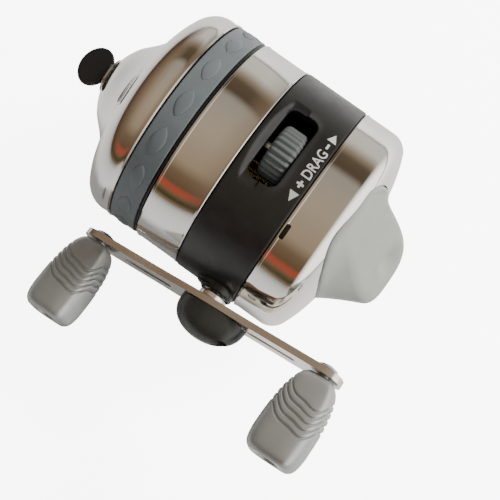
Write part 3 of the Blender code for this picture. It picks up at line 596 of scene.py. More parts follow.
# ---- belt -------------------------------------------------------------------
class REEL_OT_belt(bpy.types.Operator):
    """Black belt with the drag window, its scooped front edge and the crank's boss"""
    bl_idname = "reel.belt"
    bl_label = "Belt"

    window = (12.6, -3.3, 7.0)
    corner = 3.4

    def execute(self, context):
        sizes = context.scene.reel_sizes
        radius = sizes.belt_radius / MM
        skin = [(radius, -10.5 + 0.5 * k) for k in range(43)]
        profile = [(34.0, -13.9), (35.5, -13.9), (35.5, -10.9), (radius - 0.45, -10.9),
                   (radius - 0.13, -10.8)]
        profile += skin + [(radius - 0.13, 10.8), (radius - 0.45, 10.9), (35.3, 10.9), (35.3, 13.9),
                           (34.0, 13.9)]
        edit = turned(profile, 360)
        self.scoop(edit, radius)
        belt = shape(edit, "body_belt_fine", MAIN)
        wide, rear, front = self.window
        outline = rounded([(-wide, -rear), (wide, -rear), (wide, -front), (-wide, -front)], self.corner, 8)
        upward = MAIN @ Matrix.Rotation(math.pi / 2, 4, "X")
        boss = turned(rounded([(4.2, 30.0, 0), (5.6, 30.0, 0), (5.6, 34.0), (5.6, 38.6), (5.1, 39.2),
                               (4.2, 39.2, 0)], 0.5), 64)
        root = turned(rounded([(3.8, 31.0, 0), (5.75, 31.0, 0), (5.7, 34.6), (5.45, 36.6), (5.3, 38.0),
                               (3.8, 38.4, 0)], 0.9, 6), 64)
        for vert in root.verts:
            # the root flares towards the nose only
            vert.co.x *= 1.45 if vert.co.x > 0 else 1.0
        combine(belt, [(root, OUTWARD), (boss, OUTWARD)], "UNION")
        combine(belt, [(bar(bmesh.new(), outline, 31.0, 41.0), upward), (pin(4.9, 10, 42, 72), OUTWARD)])
        if max(vert.co.x for vert in belt.data.vertices) < radius * MM * 0.9:
            raise RuntimeError("the belt was lost when its openings were cut")
        settle(belt, "reel_body", ["body_belt"], [finish(belt_paint)], sharp=30)
        return {"FINISHED"}

    def scoop(self, edit, radius):
        """Press a thumb scoop into the front of the window's edge and lift a faint rim."""
        wide, rear, front = self.window
        for vert in edit.verts:
            x, y, z = vert.co / MM
            distance = math.hypot(x, z)
            if z <= 0 or distance < radius - 0.02:
                continue
            gap_x = max(abs(x) - wide + self.corner, 0)
            gap_y = max(rear + self.corner - y, y - front + self.corner, 0)
            away = math.hypot(gap_x, gap_y) - self.corner
            lift = 0.30 * math.exp(-(max(away, 0) / 1.2) ** 2)
            if y > (rear + front) / 2:
                width = 2.6 * max(0.0, 1 - (x / (wide + 2)) ** 2) ** 0.5
                press = max(0.0, width - max(y - front, 0)) if away > -1.5 else width
                lift -= 0.62 * press
            factor = (distance + lift) / distance
            vert.co.x *= factor
            vert.co.z *= factor


class REEL_OT_drag_marks(bpy.types.Operator):
    """Printed drag marks on the belt: arrows, plus, minus and the word"""
    bl_idname = "reel.drag_marks"
    bl_label = "Drag Marks"

    line_y = -8.35
    drawn_radius = 37.0     # the belt's radius that the marks' degrees are laid out for
    thick, clear = 0.03, 0.02

    def execute(self, context):
        radius = context.scene.reel_sizes.belt_radius / MM
        edit = bmesh.new()
        for outline in self.outlines():
            edit.faces.new([edit.verts.new((u * MM, v * MM, 0)) for u, v in outline]).normal_update()
        letters = self.letters("DRAG", 3.3, -6.6, 8.9)
        edit.from_mesh(letters)
        bpy.data.meshes.remove(letters)
        bmesh.ops.triangulate(edit, faces=edit.faces)
        bmesh.ops.recalc_face_normals(edit, faces=edit.faces)
        bmesh.ops.solidify(edit, geom=edit.faces[:], thickness=self.thick * MM)
        for vert in edit.verts:
            angle = vert.co.x / (radius * MM)
            out = (radius + self.clear) * MM + (self.thick * MM if abs(vert.co.z) > 1e-6 else 0.0)
            vert.co = (out * math.sin(angle), vert.co.y + self.line_y * MM, out * math.cos(angle))
        bmesh.ops.recalc_face_normals(edit, faces=edit.faces)
        marks = shape(edit, "drag_marks", MAIN)
        settle(marks, "reel_body", [], [finish(printed_mark)])
        return {"FINISHED"}

    def outlines(self):
        """Arrows, plus and minus as flat outlines; x runs round the belt."""
        degree = math.radians(1) * self.drawn_radius
        left, right = -16.8 * degree, 17.6 * degree
        arrows = [[(left - 1.7, 0.0), (left + 1.5, -1.55), (left + 1.5, 1.55)],
                  [(right + 1.7, 0.0), (right - 1.5, 1.55), (right - 1.5, -1.55)]]
        plus, minus = -10.3 * degree, 12.0 * degree
        thick, arm = 0.36, 1.15
        cross = [(-arm, -thick), (-thick, -thick), (-thick, -arm), (thick, -arm), (thick, -thick),
                 (arm, -thick), (arm, thick), (thick, thick), (thick, arm), (-thick, arm),
                 (-thick, thick), (-arm, thick)]
        dash = [(-0.95, -thick), (0.95, -thick), (0.95, thick), (-0.95, thick)]
        return arrows + [[(plus + u, v) for u, v in cross], [(minus + u, v) for u, v in dash]]

    def letters(self, text, height, start, stop):
        """A word as a flat mesh, fitted between two angles round the belt."""
        curve = bpy.data.curves.new("drag_word", "FONT")
        curve.body = text
        curve.offset = 0.012
        curve.resolution_u = 4
        word = bpy.data.objects.new("drag_word", curve)
        bpy.context.scene.collection.objects.link(word)
        bpy.context.view_layer.update()
        mesh = bpy.data.meshes.new_from_object(word.evaluated_get(bpy.context.evaluated_depsgraph_get()))
        bpy.data.objects.remove(word, do_unlink=True)
        bpy.data.curves.remove(curve)
        xs, ys = [v.co.x for v in mesh.vertices], [v.co.y for v in mesh.vertices]
        degree = math.radians(1) * self.drawn_radius * MM
        wide = (stop - start) * degree / (max(xs) - min(xs))
        tall = height * MM / (max(ys) - min(ys))
        for vert in mesh.vertices:
            vert.co = (start * degree + (vert.co.x - min(xs)) * wide,
                       (vert.co.y - (max(ys) + min(ys)) / 2) * tall, 0)
        return mesh


class REEL_OT_drag_wheel(bpy.types.Operator):
    """Ridged drag wheel in the belt's window"""
    bl_idname = "reel.drag_wheel"
    bl_label = "Drag Wheel"

    def execute(self, context):
        ridges = context.scene.reel_sizes.wheel_ridges
        tip, root, rear, front = 8.7, 8.05, -2.9, 5.1
        share = (0.0, 0.12, 0.24, 0.36, 0.5, 0.64, 0.76, 0.88)
        level = (root, root + 0.08, root + 0.38, tip - 0.08, tip, tip - 0.08, root + 0.38, root + 0.08)
        steps = ridges * len(share)
        # from the bore's rear edge over the ridged rim and back through the bore
        stations = [(rear, 0.0, 1.9), (rear, 1.0, -1.3), (rear + 0.25, 1.0, -0.75), (rear + 0.75, 1.0, -0.3),
                    (rear + 1.5, 1.0, 0.0), (front - 1.5, 1.0, 0.0), (front - 0.75, 1.0, -0.3),
                    (front - 0.25, 1.0, -0.75), (front, 1.0, -1.3), (front, 0.0, 1.9)]
        loops = []
        for along, ridged, offset in stations:
            loop = []
            for k in range(steps):
                angle = math.tau * (k // len(share) + share[k % len(share)]) / ridges
                radius = level[k % len(share)] + offset if ridged else offset
                loop.append(Vector((radius * math.sin(angle), along, radius * math.cos(angle))) * MM)
            loops.append(loop)
        wheel = shape(loft(loops), "drag_wheel_fine", WHEEL)
        settle(wheel, "drag_wheel", ["drag_wheel"], [finish(wheel_plastic)], sharp=50)
        return {"FINISHED"}


# ---- thumb button -----------------------------------------------------------
class REEL_OT_thumb_button(bpy.types.Operator):
    """Thumb button: sloped shoulders, slanted pad with a dish, softened edges"""
    bl_idname = "reel.thumb_button"
    bl_label = "Thumb Button"

    pad_point = Vector((0, -29.2, 27.0))
    pad_middle, pad_slope = 10.1, 0.566
    pad_normal = Vector((0, -1, pad_slope)).normalized()
    dish_centre = Vector((3.0, -43.5, 0.6))

    def execute(self, context):
        depth = context.scene.reel_sizes.dish_depth / MM
        loops = [[(x, min(self.cover_rear(x, z) + 1.6, -25.2), z) for x, z in button_base(0.0)],
                 [(x, self.cover_rear(x, z) + 0.5, z) for x, z in button_base(0.0)],
                 [(x, self.cover_rear(x, z) - 0.05, z) for x, z in button_base(-0.1)],
                 [(x, self.cover_rear(x, z) - 0.25, z) for x, z in button_base(-0.45)]]
        foot, crest = loops[-1], self.pad(1.0)
        edge = 0.16
        loops += [self.between(foot, crest, share) for share in (0.2, 0.4, 0.6, 0.75, 1 - edge)]
        # a round edge: each bend runs from the shoulder's line into the pad's plane
        start, inside = self.between(foot, crest, 1 - edge), self.pad(0.80)
        for k in range(1, 9):
            t = k / 8
            loops.append([tuple((1 - t) ** 2 * Vector(a) + 2 * t * (1 - t) * Vector(b) + t * t * Vector(c))
                          for a, b, c in zip(start, crest, inside)])
        loops += [self.pad(0.80 * (1 - k / 26) + 0.03 * k / 26) for k in range(1, 27)]
        loops = [[self.dished(Vector(place), depth) * MM for place in loop] for loop in loops]
        button = shape(loft(loops, capped=True), "thumb_button_fine", MAIN)
        combine(button, [(self.hollow(), MAIN)])
        combine(button, [(pin(2.2, -42.0, -23.8), MAIN)], "UNION")
        settle(button, "thumb_button", ["thumb_button"], [finish(button_plastic)], sharp=50)
        return {"FINISHED"}

    def pad(self, scale, shift=0.0):
        """The slanted pad's outline, or a smaller copy of it."""
        spots = []
        for k in range(BUTTON_STEPS):
            c, s = math.cos(math.tau * k / BUTTON_STEPS), math.sin(math.tau * k / BUTTON_STEPS)
            power = 7 if s > 0 else 3
            z = self.pad_middle + bulged(s, power) * 18.6
            x = bulged(c, power) * (12.0 - 0.13 * (z - self.pad_middle))
            z = self.pad_middle + (z - self.pad_middle) * scale
            spots.append((x * scale, self.pad_point.y + (z - self.pad_point.z) * self.pad_slope + shift, z))
        return spots

    @staticmethod
    def cover_rear(x, z):
        """How far back the rear cover reaches above a point."""
        radius = math.hypot(x, z)
        if radius > 32:
            return -21.5 - math.sqrt(max(49 - (radius - 29.8) ** 2, 0.0))
        return -33.5 + 5.3 * (radius / 32) ** 3

    @staticmethod
    def between(first, last, share):
        return [tuple(Vector(a).lerp(Vector(b), share)) for a, b in zip(first, last)]

    def dished(self, place, depth):
        """Press a place near the dish's middle into the pad."""
        flat = self.dish_centre - self.pad_normal * (self.dish_centre - self.pad_point).dot(self.pad_normal)
        offset = place - flat
        if abs(offset.dot(self.pad_normal)) > 0.5:
            return place
        downhill = self.pad_normal.cross(Vector((1, 0, 0)))
        away = math.hypot(offset.x / 7.2, offset.dot(downhill) / 7.6)
        if away >= 1:
            return place
        return place - self.pad_normal * depth * (math.cos(away * math.pi) + 1) / 2

    def hollow(self):
        """The cavity that opens to the front."""
        loops = [[(x, -20.0, z) for x, z in button_base(-2.0)],
                 [(x, min(self.cover_rear(x, z) + 1.8, -25.2), z) for x, z in button_base(-2.0)],
                 self.pad(0.86, 3.2)]
        return loft([[Vector(place) * MM for place in loop] for loop in loops], capped=True)


# ---- nose -------------------------------------------------------------------
class REEL_OT_nose_fittings(bpy.types.Operator):
    """Line guide ring, and the black line-keeper plug with its pull tab"""
    bl_idname = "reel.nose_fittings"
    bl_label = "Nose Fittings"

    def execute(self, context):
        guide = rounded([(3.7, 60.8), (5.3, 60.8), (5.3, 63.7, 0), (6.1, 63.7), (6.1, 64.5),
                         (3.7, 64.5, 0.6)], 0.3)
        lathe_piece("line_guide_ring", guide, MAIN, "reel_body", machined_steel, 96)
        plug = shape(turned([(0, 54.0), (2.9, 54.0), (3.3, 54.5), (3.3, 66.0), (0, 66.0)], 64, closed=False),
                     "line_keeper_plug_fine", MAIN)
        tab = bmesh.new()
        bmesh.ops.create_cone(tab, cap_ends=True, segments=96, radius1=1, radius2=1, depth=1)
        bmesh.ops.transform(tab, matrix=Matrix.Diagonal((7.2 * MM, 5.2 * MM, 2.6 * MM, 1)), verts=tab.verts)
        rims = [e for e in tab.edges
                if abs(e.verts[0].co.z - e.verts[1].co.z) < 1e-7 and len(e.link_faces) == 2]
        bmesh.ops.bevel(tab, geom=rims, offset=0.9 * MM, segments=5, profile=0.5, affect="EDGES", material=-1)
        combine(plug, [(tab, MAIN @ Matrix.Translation((-0.4 * MM, 70.0 * MM, 0)))], "UNION")
        settle(plug, "line_plug", ["line_keeper_plug"], [finish(plug_rubber)])
        return {"FINISHED"}


# ---- crank ------------------------------------------------------------------
class REEL_OT_crank_arm(bpy.types.Operator):
    """Polished crank arm with its two slots"""
    bl_idname = "reel.crank_arm"
    bl_label = "Crank Arm"

    def execute(self, context):
        half, wide = HALF_SPACING / MM, 5.8
        ends = half + wide
        outline = rounded([(-ends, -wide), (ends, -wide), (ends, wide), (-ends, wide)], wide, 16)
        edit = bar(bmesh.new(), outline, 41.8, 44.0)
        for k in range(1, 40):
            at = (-half + 2 * half * k / 40) * MM
            whole = edit.verts[:] + edit.edges[:] + edit.faces[:]
            bmesh.ops.bisect_plane(edit, geom=whole, plane_co=(at, 0, 0), plane_no=(1, 0, 0), dist=1e-7)
        for vert in edit.verts:
            along = min(abs(vert.co.x) / MM / half, 1.0)
            vert.co.z *= 1 + 0.06 * math.cos(along * math.pi) ** 3 - 0.07 * math.sin(along * math.pi) ** 2
        bmesh.ops.recalc_face_normals(edit, faces=edit.faces)
        arm = shape(edit, "crank_arm_fine", CRANK)
        tools = []
        for side in (-1, 1):
            middle = side * half * 0.54
            slot = rounded([(middle - 10, -1.1), (middle + 10, -1.1), (middle + 10, 1.1),
                            (middle - 10, 1.1)], 1.05, 6)
            tools.append((bar(bmesh.new(), slot, 38, 48), CRANK))
            tools.append((pin(2.2, 38, 48), crank_frame(side * HALF_SPACING)))
        tools += [(pin(2.7, 38, 48), CRANK), (pin(1.2, 38, 48), CAP_SCREW)]
        combine(arm, tools)
        settle(arm, "crank", ["crank_arm"], [finish(arm_steel)], round_edges=0.3 * MM)
        return {"FINISHED"}


def arm_steel():
    """Brushed and buffed flat steel, with lines along the arm."""
    colours = bpy.context.scene.reel_colours
    made, tree, shader, place = shader_nodes("arm_steel", 1.0)
    steel = tuple(colours.polished_steel)
    stain = add_range(tree, add_noise(tree, place, 60.0), 0.0, 1.0)
    tree.links.new(add_tint(tree, stain, shaded(steel, 0.9), steel), shader.inputs["Base Color"])
    smear = add_noise(tree, place, 120.0, 5.0)
    tree.links.new(add_range(tree, smear, 0.12, 0.24), shader.inputs["Roughness"])
    add_bump(tree, shader, add_noise(tree, place, 2200.0, 2.0, (1, 0.05, 0.5)), 0.000005)
    return made


class REEL_OT_crank_hardware(bpy.types.Operator):
    """Collar, shaft, nut, spindles and the nuts inside the grips"""
    bl_idname = "reel.crank_hardware"
    bl_label = "Crank Hardware"

    def execute(self, context):
        collar = rounded([(2.7, 39.5), (4.6, 39.5), (4.6, 41.5), (2.7, 41.5)], 0.45, 5)
        lathe_piece("crank_collar", collar, OUTWARD, "crank", polished_steel, 64)
        shaft = [(0, 7.0), (2.1, 7.0), (2.4, 7.3), (2.4, 47.6), (2.0, 48.0), (0, 48.0)]
        lathe_piece("crank_shaft", shaft, OUTWARD, "crank", machined_steel, 48,
                    closed=False)
        head = [(0, 39.9), (1.6, 40.0), (2.9, 40.4), (3.6, 40.95), (3.8, 41.3), (3.7, 41.5)]
        pin_line = head + [(1.9, 41.55), (1.9, 67.4), (1.5, 67.8), (0, 67.8)]
        for side, place in (("front", FRONT_END), ("rear", REAR_END)):
            lathe_piece(side + "_grip_spindle", pin_line, place, "crank", machined_steel,
                        48, closed=False)
            nut = rounded([(2.05, 66.9), (3.2, 66.9), (3.2, 69.3), (2.05, 69.3)], 0.3)
            lathe_piece(side + "_grip_nut", nut, place, "crank", machined_steel, 48)
        hexagon = [(4.0 * math.cos(math.tau * k / 6), 4.0 * math.sin(math.tau * k / 6)) for k in range(6)]
        nut = shape(bar(bmesh.new(), hexagon, 44.3, 47.3), "handle_nut_fine", CRANK)
        combine(nut, [(pin(2.55, 40, 50), CRANK)])
        settle(nut, "crank", ["handle_nut"], [finish(machined_steel)],
               round_edges=0.25 * MM)
        return {"FINISHED"}


class REEL_OT_nut_cap(bpy.types.Operator):
    """Black cap over the crank nut, with its screw in a recess"""
    bl_idname = "reel.nut_cap"
    bl_label = "Nut Cap"

    def execute(self, context):
        edit = bmesh.new()
        bmesh.ops.create_uvsphere(edit, u_segments=96, v_segments=64, radius=1)
        whole = edit.verts[:] + edit.edges[:] + edit.faces[:]
        bmesh.ops.bisect_plane(edit, geom=whole, plane_co=(0, 0, 0), plane_no=(0, -1, 0),
                               clear_outer=True, dist=1e-7)
        bmesh.ops.holes_fill(edit, edges=[e for e in edit.edges if e.is_boundary])
        for vert in edit.verts:
            # a fuller shoulder than a plain ellipsoid, and a narrower rear end
            vert.co.y = max(vert.co.y, 0.0) ** 0.8
            vert.co.z *= 1.0 - 0.10 * max(-vert.co.x, 0.0)
        size = Matrix.Diagonal((12.3 * MM, 9.6 * MM, 6.6 * MM, 1))
        bmesh.ops.transform(edit, matrix=Matrix.Translation((-3.6 * MM, 44.3 * MM, 0)) @ size,
                            verts=edit.verts)
        bmesh.ops.recalc_face_normals(edit, faces=edit.faces)
        cap = shape(edit, "nut_cap_fine", CRANK)
        recess = turned(rounded([(0, 47.0, 0), (2.3, 47.0), (2.6, 60, 0), (0, 60, 0)], 0.3), 48,
                        closed=False)
        combine(cap, [(pin(4.4, 40, 48.6), CRANK), (pin(1.2, 40, 60), CAP_SCREW), (recess, CAP_SCREW)])
        settle(cap, "crank", ["nut_cap"], [finish(cap_plastic)], round_edges=0.3 * MM)
        line = [(0, 42.2), (0.9, 42.2), (0.9, 47.3), (2.0, 47.3), (2.0, 48.3), (1.7, 48.6), (0, 48.7)]
        screw = shape(turned(line, 48, closed=False), "cap_screw_fine", CAP_SCREW)
        cross = [bar(bmesh.new(), [(-1.4, -0.25), (1.4, -0.25), (1.4, 0.25), (-1.4, 0.25)], 48.0, 50.0),
                 bar(bmesh.new(), [(-0.25, -1.4), (0.25, -1.4), (0.25, 1.4), (-0.25, 1.4)], 48.0, 50.0)]
        combine(screw, [(tool, CAP_SCREW) for tool in cross])
        settle(screw, "crank", ["cap_screw"], [finish(machined_steel)])
        return {"FINISHED"}


class REEL_OT_grips(bpy.types.Operator):
    """Two satin grips with five waved grooves each and a hole in the end"""
    bl_idname = "reel.grips"
    bl_label = "Grips"

    start, length = 44.6, 28.3
    steps, power = 112, 3.6
    grooves = (7.2, 9.4, 11.6, 13.8, 16.0)
    wave_height, wave_turn = 3.1, math.radians(115)
    # share of the length, half-width along the arm, half-height
    sections = ((0.0, 4.2, 4.0), (0.02, 5.0, 4.6), (0.06, 5.9, 5.2), (0.14, 6.9, 5.9), (0.28, 7.9, 6.4),
                (0.5, 8.5, 6.75), (0.7, 8.65, 6.8), (0.82, 8.55, 6.75), (0.92, 8.1, 6.3), (0.97, 7.4, 5.6),
                (1.0, 6.4, 4.7))

    def execute(self, context):
        depth = context.scene.reel_sizes.groove_depth / MM
        for side, place in (("front", FRONT_END), ("rear", REAR_END)):
            loops = [self.outline(along, sunk * depth) for along, sunk in self.stations()]
            end = self.length
            for radius, along in ((3.9, end + 0.05), (3.65, end - 0.2), (3.6, end - 0.6), (3.6, end - 6.4),
                                  (2.3, end - 6.5), (2.2, 0.0)):
                out = self.start + along
                loops.append([Vector((radius * math.cos(angle), out, radius * math.sin(angle))) * MM
                              for angle in self.angles()])
            edit = loft(loops)
            self.paint_groove_shade(edit)
            grip = shape(edit, side + "_grip_fine", place)
            # the second material is painted shade for the bottoms of the grooves
            settle(grip, side + "_grip", [side + "_grip"],
                   [finish(grip_paint), finish(groove_paint)], sharp=55)
        return {"FINISHED"}

    def angles(self):
        return [math.tau * k / self.steps for k in range(self.steps)]

    def stations(self):
        """(along, how far sunk) from the arm's end outward, close together at a groove."""
        near_arm = (0, 0.006, 0.02, 0.04, 0.06, 0.09, 0.12, 0.15, 0.18, 0.205)
        near_end = (0.62, 0.66, 0.7, 0.74, 0.78, 0.82, 0.86, 0.89, 0.92, 0.94, 0.955, 0.97, 0.98,
                    0.99, 0.996, 1.0)
        # how far from a groove's middle, and how far sunk there
        groove_form = ((-0.80, 0.0), (-0.52, 0.06), (-0.36, 0.62), (-0.16, 1.0),
                       (0.16, 1.0), (0.36, 0.62), (0.52, 0.06), (0.80, 0.0))
        spots = [(self.length * share, 0.0) for share in near_arm]
        for groove in self.grooves:
            spots += [(groove + offset, sunk) for offset, sunk in groove_form]
        return spots + [(self.length * share, 0.0) for share in near_end]

    def outline(self, along, sunk):
        """One loop round the grip; its places lean with the wave."""
        places = []
        rise = min(max((along - 1.0) / 5.0, 0.0), 1.0)
        fall = min(max((self.length - 1.5 - along) / 10.0, 0.0), 1.0)
        sway = rise * rise * (3 - 2 * rise) * fall * fall * (3 - 2 * fall)
        for angle in self.angles():
            wave = self.wave_height * sway * math.cos(2 * (angle - self.wave_turn))
            at = min(max(along + wave, 0.0), self.length)
            half_x, half_z = self.half_sizes(at / self.length)
            c, s = math.cos(angle), math.sin(angle)
            x, z = bulged(c, self.power) * half_x, bulged(s, self.power) * half_z
            inward = Vector((x / half_x ** 2, 0, z / half_z ** 2)).normalized() * sunk
            places.append((Vector((x, self.start + at, z)) - inward) * MM)
        return places

    def half_sizes(self, share):
        """Half-width and half-height, passed smoothly through the sections."""
        for low, high in zip(self.sections, self.sections[1:]):
            if share <= high[0]:
                t = (share - low[0]) / (high[0] - low[0])
                k = self.sections.index(low)
                before = self.sections[max(k - 1, 0)]
                after = self.sections[min(k + 2, len(self.sections) - 1)]
                sizes = []
                for column in (1, 2):
                    step = high[0] - low[0]
                    slope_in = (high[column] - before[column]) / max(high[0] - before[0], 1e-6) * step
                    slope_out = (after[column] - low[column]) / max(after[0] - low[0], 1e-6) * step
                    sizes.append((2 * t ** 3 - 3 * t ** 2 + 1) * low[column]
                                 + (t ** 3 - 2 * t ** 2 + t) * slope_in
                                 + (3 * t ** 2 - 2 * t ** 3) * high[column]
                                 + (t ** 3 - t ** 2) * slope_out)
                return sizes
        return self.sections[-1][1:]

    def paint_groove_shade(self, edit):
        """Colour the faces at the bottom of each groove near-black: painted shade in the grooves."""
        edit.faces.ensure_lookup_table()
        spots = self.stations()
        deep = {k for k in range(len(spots) - 1) if spots[k][1] + spots[k + 1][1] > 0.6}
        for index, face in enumerate(edit.faces):
            if index // self.steps in deep:
                face.material_index = 1


# ---- foot -------------------------------------------------------------------
class REEL_OT_foot(bpy.types.Operator):
    """Reel foot with ramped ends, its neck and the holes for its two screws"""
    bl_idname = "reel.foot"
    bl_label = "Foot"

    def execute(self, context):
        low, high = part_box("reel_foot")
        half, wide = high.y / MM, high.x / MM
        edit = bmesh.new()
        side = [(-half, 0), (half, 0), (half, 1.4), (13, 3.4), (-13, 3.4), (-half, 1.4)]
        face = edit.faces.new([edit.verts.new((-wide * MM, y * MM, z * MM)) for y, z in side])
        grown = bmesh.ops.extrude_face_region(edit, geom=[face])
        lifted = [item for item in grown["geom"] if isinstance(item, bmesh.types.BMVert)]
        bmesh.ops.translate(edit, vec=(2 * wide * MM, 0, 0), verts=lifted)
        corners = [e for e in edit.edges if all(abs(abs(v.co.y) - half * MM) < 1e-6 for v in e.verts)
                   and abs(e.verts[0].co.z - e.verts[1].co.z) > 1e-4]
        bmesh.ops.bevel(edit, geom=corners, offset=7.5 * MM, segments=16, profile=0.5, affect="EDGES",
                        material=-1, clamp_overlap=False)
        bmesh.ops.recalc_face_normals(edit, faces=edit.faces)
        foot = shape(edit, "reel_foot_fine", Matrix.Identity(4))
        neck = bar(bmesh.new(), rounded([(-5.5, 3.0), (5.5, 3.0), (5.5, 14.0), (-5.5, 14.0)], 0), -10.2, 10.2)
        combine(foot, [(neck, Matrix.Identity(4))], "UNION")
        up = Matrix.Rotation(math.pi / 2, 4, "X")
        tools = [(pin(37.3, -20, 20, 192), MAIN)]
        for y in (-7.0, 7.0):
            place = Matrix.Translation((0, y * MM, 0)) @ up
            tools += [(pin(1.8, -1, 20, 32), place), (pin(3.4, -1, 2.4, 48), place)]
        combine(foot, tools)
        settle(foot, "reel_body", ["reel_foot"], [finish(belt_paint)], round_edges=0.3 * MM)
        return {"FINISHED"}


# ---- pieces that keep their CAD shape ---------------------------------------
class REEL_OT_inner_works(bpy.types.Operator):
    """Finishes for the gears, spool, shafts and screws that keep their CAD shape"""
    bl_idname = "reel.inner_works"
    bl_label = "Inner Works"

    def execute(self, context):
        finishes = {"brass": machined_brass, "cast_alloy": cast_alloy, "felt": drag_felt,
                    "fishing_line": wound_line, "machined_steel": machined_steel,
                    "polished_steel": polished_steel, "black_paint": belt_paint, "grey_rubber": ring_rubber,
                    "grey_plastic": wheel_plastic, "button_plastic": button_plastic,
                    "dark_plastic": cap_plastic, "black_rubber": plug_rubber}
        for part in frame["record"]["subparts"]:
            node = frame["nodes"][part["node"]]
            if not node.hide_render:
                node.data.materials.clear()
                node.data.materials.append(finish(finishes[part["material_slot"]]))
        return {"FINISHED"}


# ---- stage ------------------------------------------------------------------
class REEL_OT_stage(bpy.types.Operator):
    """Pale floor, soft studio lights, room tones for the steel, and the camera"""
    bl_idname = "reel.stage"
    bl_label = "Stage"

    # lean in degrees from straight up towards +X, and the room's colour there
    room_tones = tuple((0.5 + lean / 360, colour) for lean, colour in (
        (-180, (0.80, 0.78, 0.72)), (-112, (0.80, 0.78, 0.72)), (-100, (0.62, 0.58, 0.50)),
        (-95, (0.07, 0.08, 0.03)), (-90, (0.26, 0.18, 0.11)), (-86, (0.05, 0.045, 0.02)),
        (-80, (0.20, 0.13, 0.07)), (-77, (0.46, 0.09, 0.05)), (-73, (0.42, 0.09, 0.05)),
        (-70, (0.15, 0.09, 0.05)), (-58, (0.20, 0.135, 0.08)), (-46, (0.40, 0.31, 0.21)),
        (-10, (0.47, 0.385, 0.29)), (14, (0.44, 0.38, 0.31)), (30, (0.40, 0.36, 0.31)),
        (38, (0.10, 0.07, 0.045)), (52, (0.13, 0.095, 0.06)), (60, (0.34, 0.27, 0.20)),
        (72, (0.80, 0.77, 0.70)), (110, (0.85, 0.83, 0.78)), (180, (0.80, 0.78, 0.72))))

    def execute(self, context):
        self.floor()
        self.room(context.scene)
        self.soft_light("key", (0.62, -0.45, 0.70), 0.3, 15.0, (1.0, 0.99, 0.96))
        self.soft_light("fill", (-0.55, 0.35, 0.65), 0.7, 1.0, (0.95, 0.97, 1.0))
        self.camera(context.scene)
        return {"FINISHED"}

    def floor(self):
        edit = bmesh.new()
        bmesh.ops.create_grid(edit, x_segments=8, y_segments=8, size=3.0)
        floor = shape(edit, "floor", Matrix.Identity(4))
        made, tree, shader, place = shader_nodes("pale_floor", 0.0)
        tone = add_range(tree, add_noise(tree, place, 6.0), 0.0, 1.0)
        pale = add_tint(tree, tone, (0.965, 0.965, 0.96), (0.975, 0.975, 0.97))
        tree.links.new(pale, shader.inputs["Base Color"])
        shader.inputs["Roughness"].default_value = 0.8
        sight = tree.nodes.new("ShaderNodeLightPath")
        glow = add_range(tree, sight.outputs["Is Camera Ray"], 0.0, 7.0, 0.0, 1.0)
        tree.links.new(glow, shader.inputs["Emission Strength"])
        shader.inputs["Emission Color"].default_value = (1.0, 1.0, 0.99, 1.0)
        floor.data.materials.append(made)

    def soft_light(self, name, place, size, power, colour):
        lamp = bpy.data.lights.new(name, "AREA")
        lamp.shape, lamp.size, lamp.energy, lamp.color = "DISK", size, power, colour
        light = bpy.data.objects.new(name, lamp)
        bpy.context.scene.collection.objects.link(light)
        light.location = place
        light.visible_glossy = False
        aim = Vector((0, 0, AXIS_HEIGHT)) - Vector(place)
        light.rotation_euler = aim.to_track_quat("-Z", "Y").to_euler()

    def room(self, scene):
        """White light for matt surfaces, and a warm room for the steel to mirror."""
        world = bpy.data.worlds.new("studio_room")
        world.use_nodes = True
        tree = world.node_tree
        paper = tree.nodes["Background"]
        paper.inputs["Color"].default_value = (0.93, 0.94, 0.95, 1)
        paper.inputs["Strength"].default_value = 0.36
        room = tree.nodes.new("ShaderNodeBackground")
        room.inputs["Strength"].default_value = 1.0
        direction = tree.nodes.new("ShaderNodeTexCoord").outputs["Generated"]
        split = tree.nodes.new("ShaderNodeSeparateXYZ")
        tree.links.new(direction, split.inputs["Vector"])
        lean = tree.nodes.new("ShaderNodeMath")
        lean.operation = "ARCTAN2"
        tree.links.new(split.outputs["X"], lean.inputs[0])
        tree.links.new(split.outputs["Z"], lean.inputs[1])
        across = add_range(tree, lean.outputs["Value"], 0.0, 1.0, -math.pi, math.pi)
        tones = tree.nodes.new("ShaderNodeValToRGB")
        stops = self.room_tones
        ramp = tones.color_ramp.elements
        while len(ramp) < len(stops):
            ramp.new(0.5)
        for element, (position, colour) in zip(ramp, stops):
            element.position, element.color = position, (*colour, 1)
        tree.links.new(across, tones.inputs["Fac"])
        ahead = add_range(tree, split.outputs["Y"], 0.0, 1.0, 0.22, 0.72)
        level = add_range(tree, split.outputs["Z"], 0.0, 1.0, 0.05, 0.8)
        wall = add_tint(tree, level, (0.10, 0.055, 0.035), (0.34, 0.25, 0.17))
        with_wall = add_tint(tree, ahead, tones.outputs["Color"], wall)
        behind = add_range(tree, split.outputs["Y"], 1.0, 0.0, -0.62, -0.30)
        with_window = add_tint(tree, behind, with_wall, (2.6, 2.55, 2.45))
        tree.links.new(with_window, room.inputs["Color"])
        sight = tree.nodes.new("ShaderNodeLightPath")
        mix = tree.nodes.new("ShaderNodeMixShader")
        tree.links.new(sight.outputs["Is Glossy Ray"], mix.inputs["Fac"])
        tree.links.new(paper.outputs["Background"], mix.inputs[1])
        tree.links.new(room.outputs["Background"], mix.inputs[2])
        tree.links.new(mix.outputs["Shader"], tree.nodes["World Output"].inputs["Surface"])
        scene.world = world

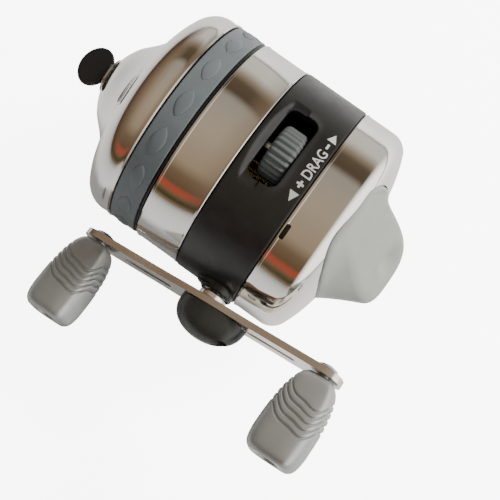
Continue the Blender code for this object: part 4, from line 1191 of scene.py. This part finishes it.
    def camera(self, scene):
        data = bpy.data.cameras.new("camera")
        data.lens, data.sensor_width = 72.0, 36.0
        camera = bpy.data.objects.new("camera", data)
        scene.collection.objects.link(camera)
        right = Vector((0.5706514, -0.81281184, 0.11702086))
        up = Vector((0.77369967, 0.57992025, 0.25511041))
        back = Vector((-0.27521953, -0.05504011, 0.95980456))
        place = Matrix((right, up, back)).transposed().to_4x4()
        place.translation = (-0.107564, -0.023242, 0.349068)
        camera.matrix_world = place
        data.clip_start, data.clip_end = 0.01, 20.0
        scene.camera = camera


# ---- panel and registration -------------------------------------------------
PIECES = (REEL_OT_rear_cover, REEL_OT_front_sleeve, REEL_OT_nose_cover, REEL_OT_grip_ring, REEL_OT_belt,
          REEL_OT_drag_marks, REEL_OT_drag_wheel, REEL_OT_thumb_button, REEL_OT_nose_fittings,
          REEL_OT_crank_arm, REEL_OT_crank_hardware, REEL_OT_nut_cap, REEL_OT_grips, REEL_OT_foot,
          REEL_OT_inner_works, REEL_OT_stage)


class REEL_PT_panel(bpy.types.Panel):
    """The reel's pieces, sizes and colours in the sidebar"""
    bl_idname = "REEL_PT_panel"
    bl_label = "Spincast Reel"
    bl_space_type = "VIEW_3D"
    bl_region_type = "UI"
    bl_category = "Reel"

    def draw(self, context):
        for group in (context.scene.reel_sizes, context.scene.reel_colours):
            box = self.layout.box()
            for name in group.__annotations__:
                box.prop(group, name)
        column = self.layout.column()
        for piece in PIECES:
            column.operator(piece.bl_idname)


CLASSES = (ReelSizes, ReelColours) + PIECES + (REEL_PT_panel,)


def register():
    for item in CLASSES:
        bpy.utils.register_class(item)
    bpy.types.Scene.reel_sizes = PointerProperty(type=ReelSizes)
    bpy.types.Scene.reel_colours = PointerProperty(type=ReelColours)


def unregister():
    del bpy.types.Scene.reel_colours
    del bpy.types.Scene.reel_sizes
    for item in reversed(CLASSES):
        bpy.utils.unregister_class(item)


def main():
    register()
    for piece in PIECES:
        group, name = piece.bl_idname.split(".")
        getattr(getattr(bpy.ops, group), name)()


if __name__ == "__main__":
    main()
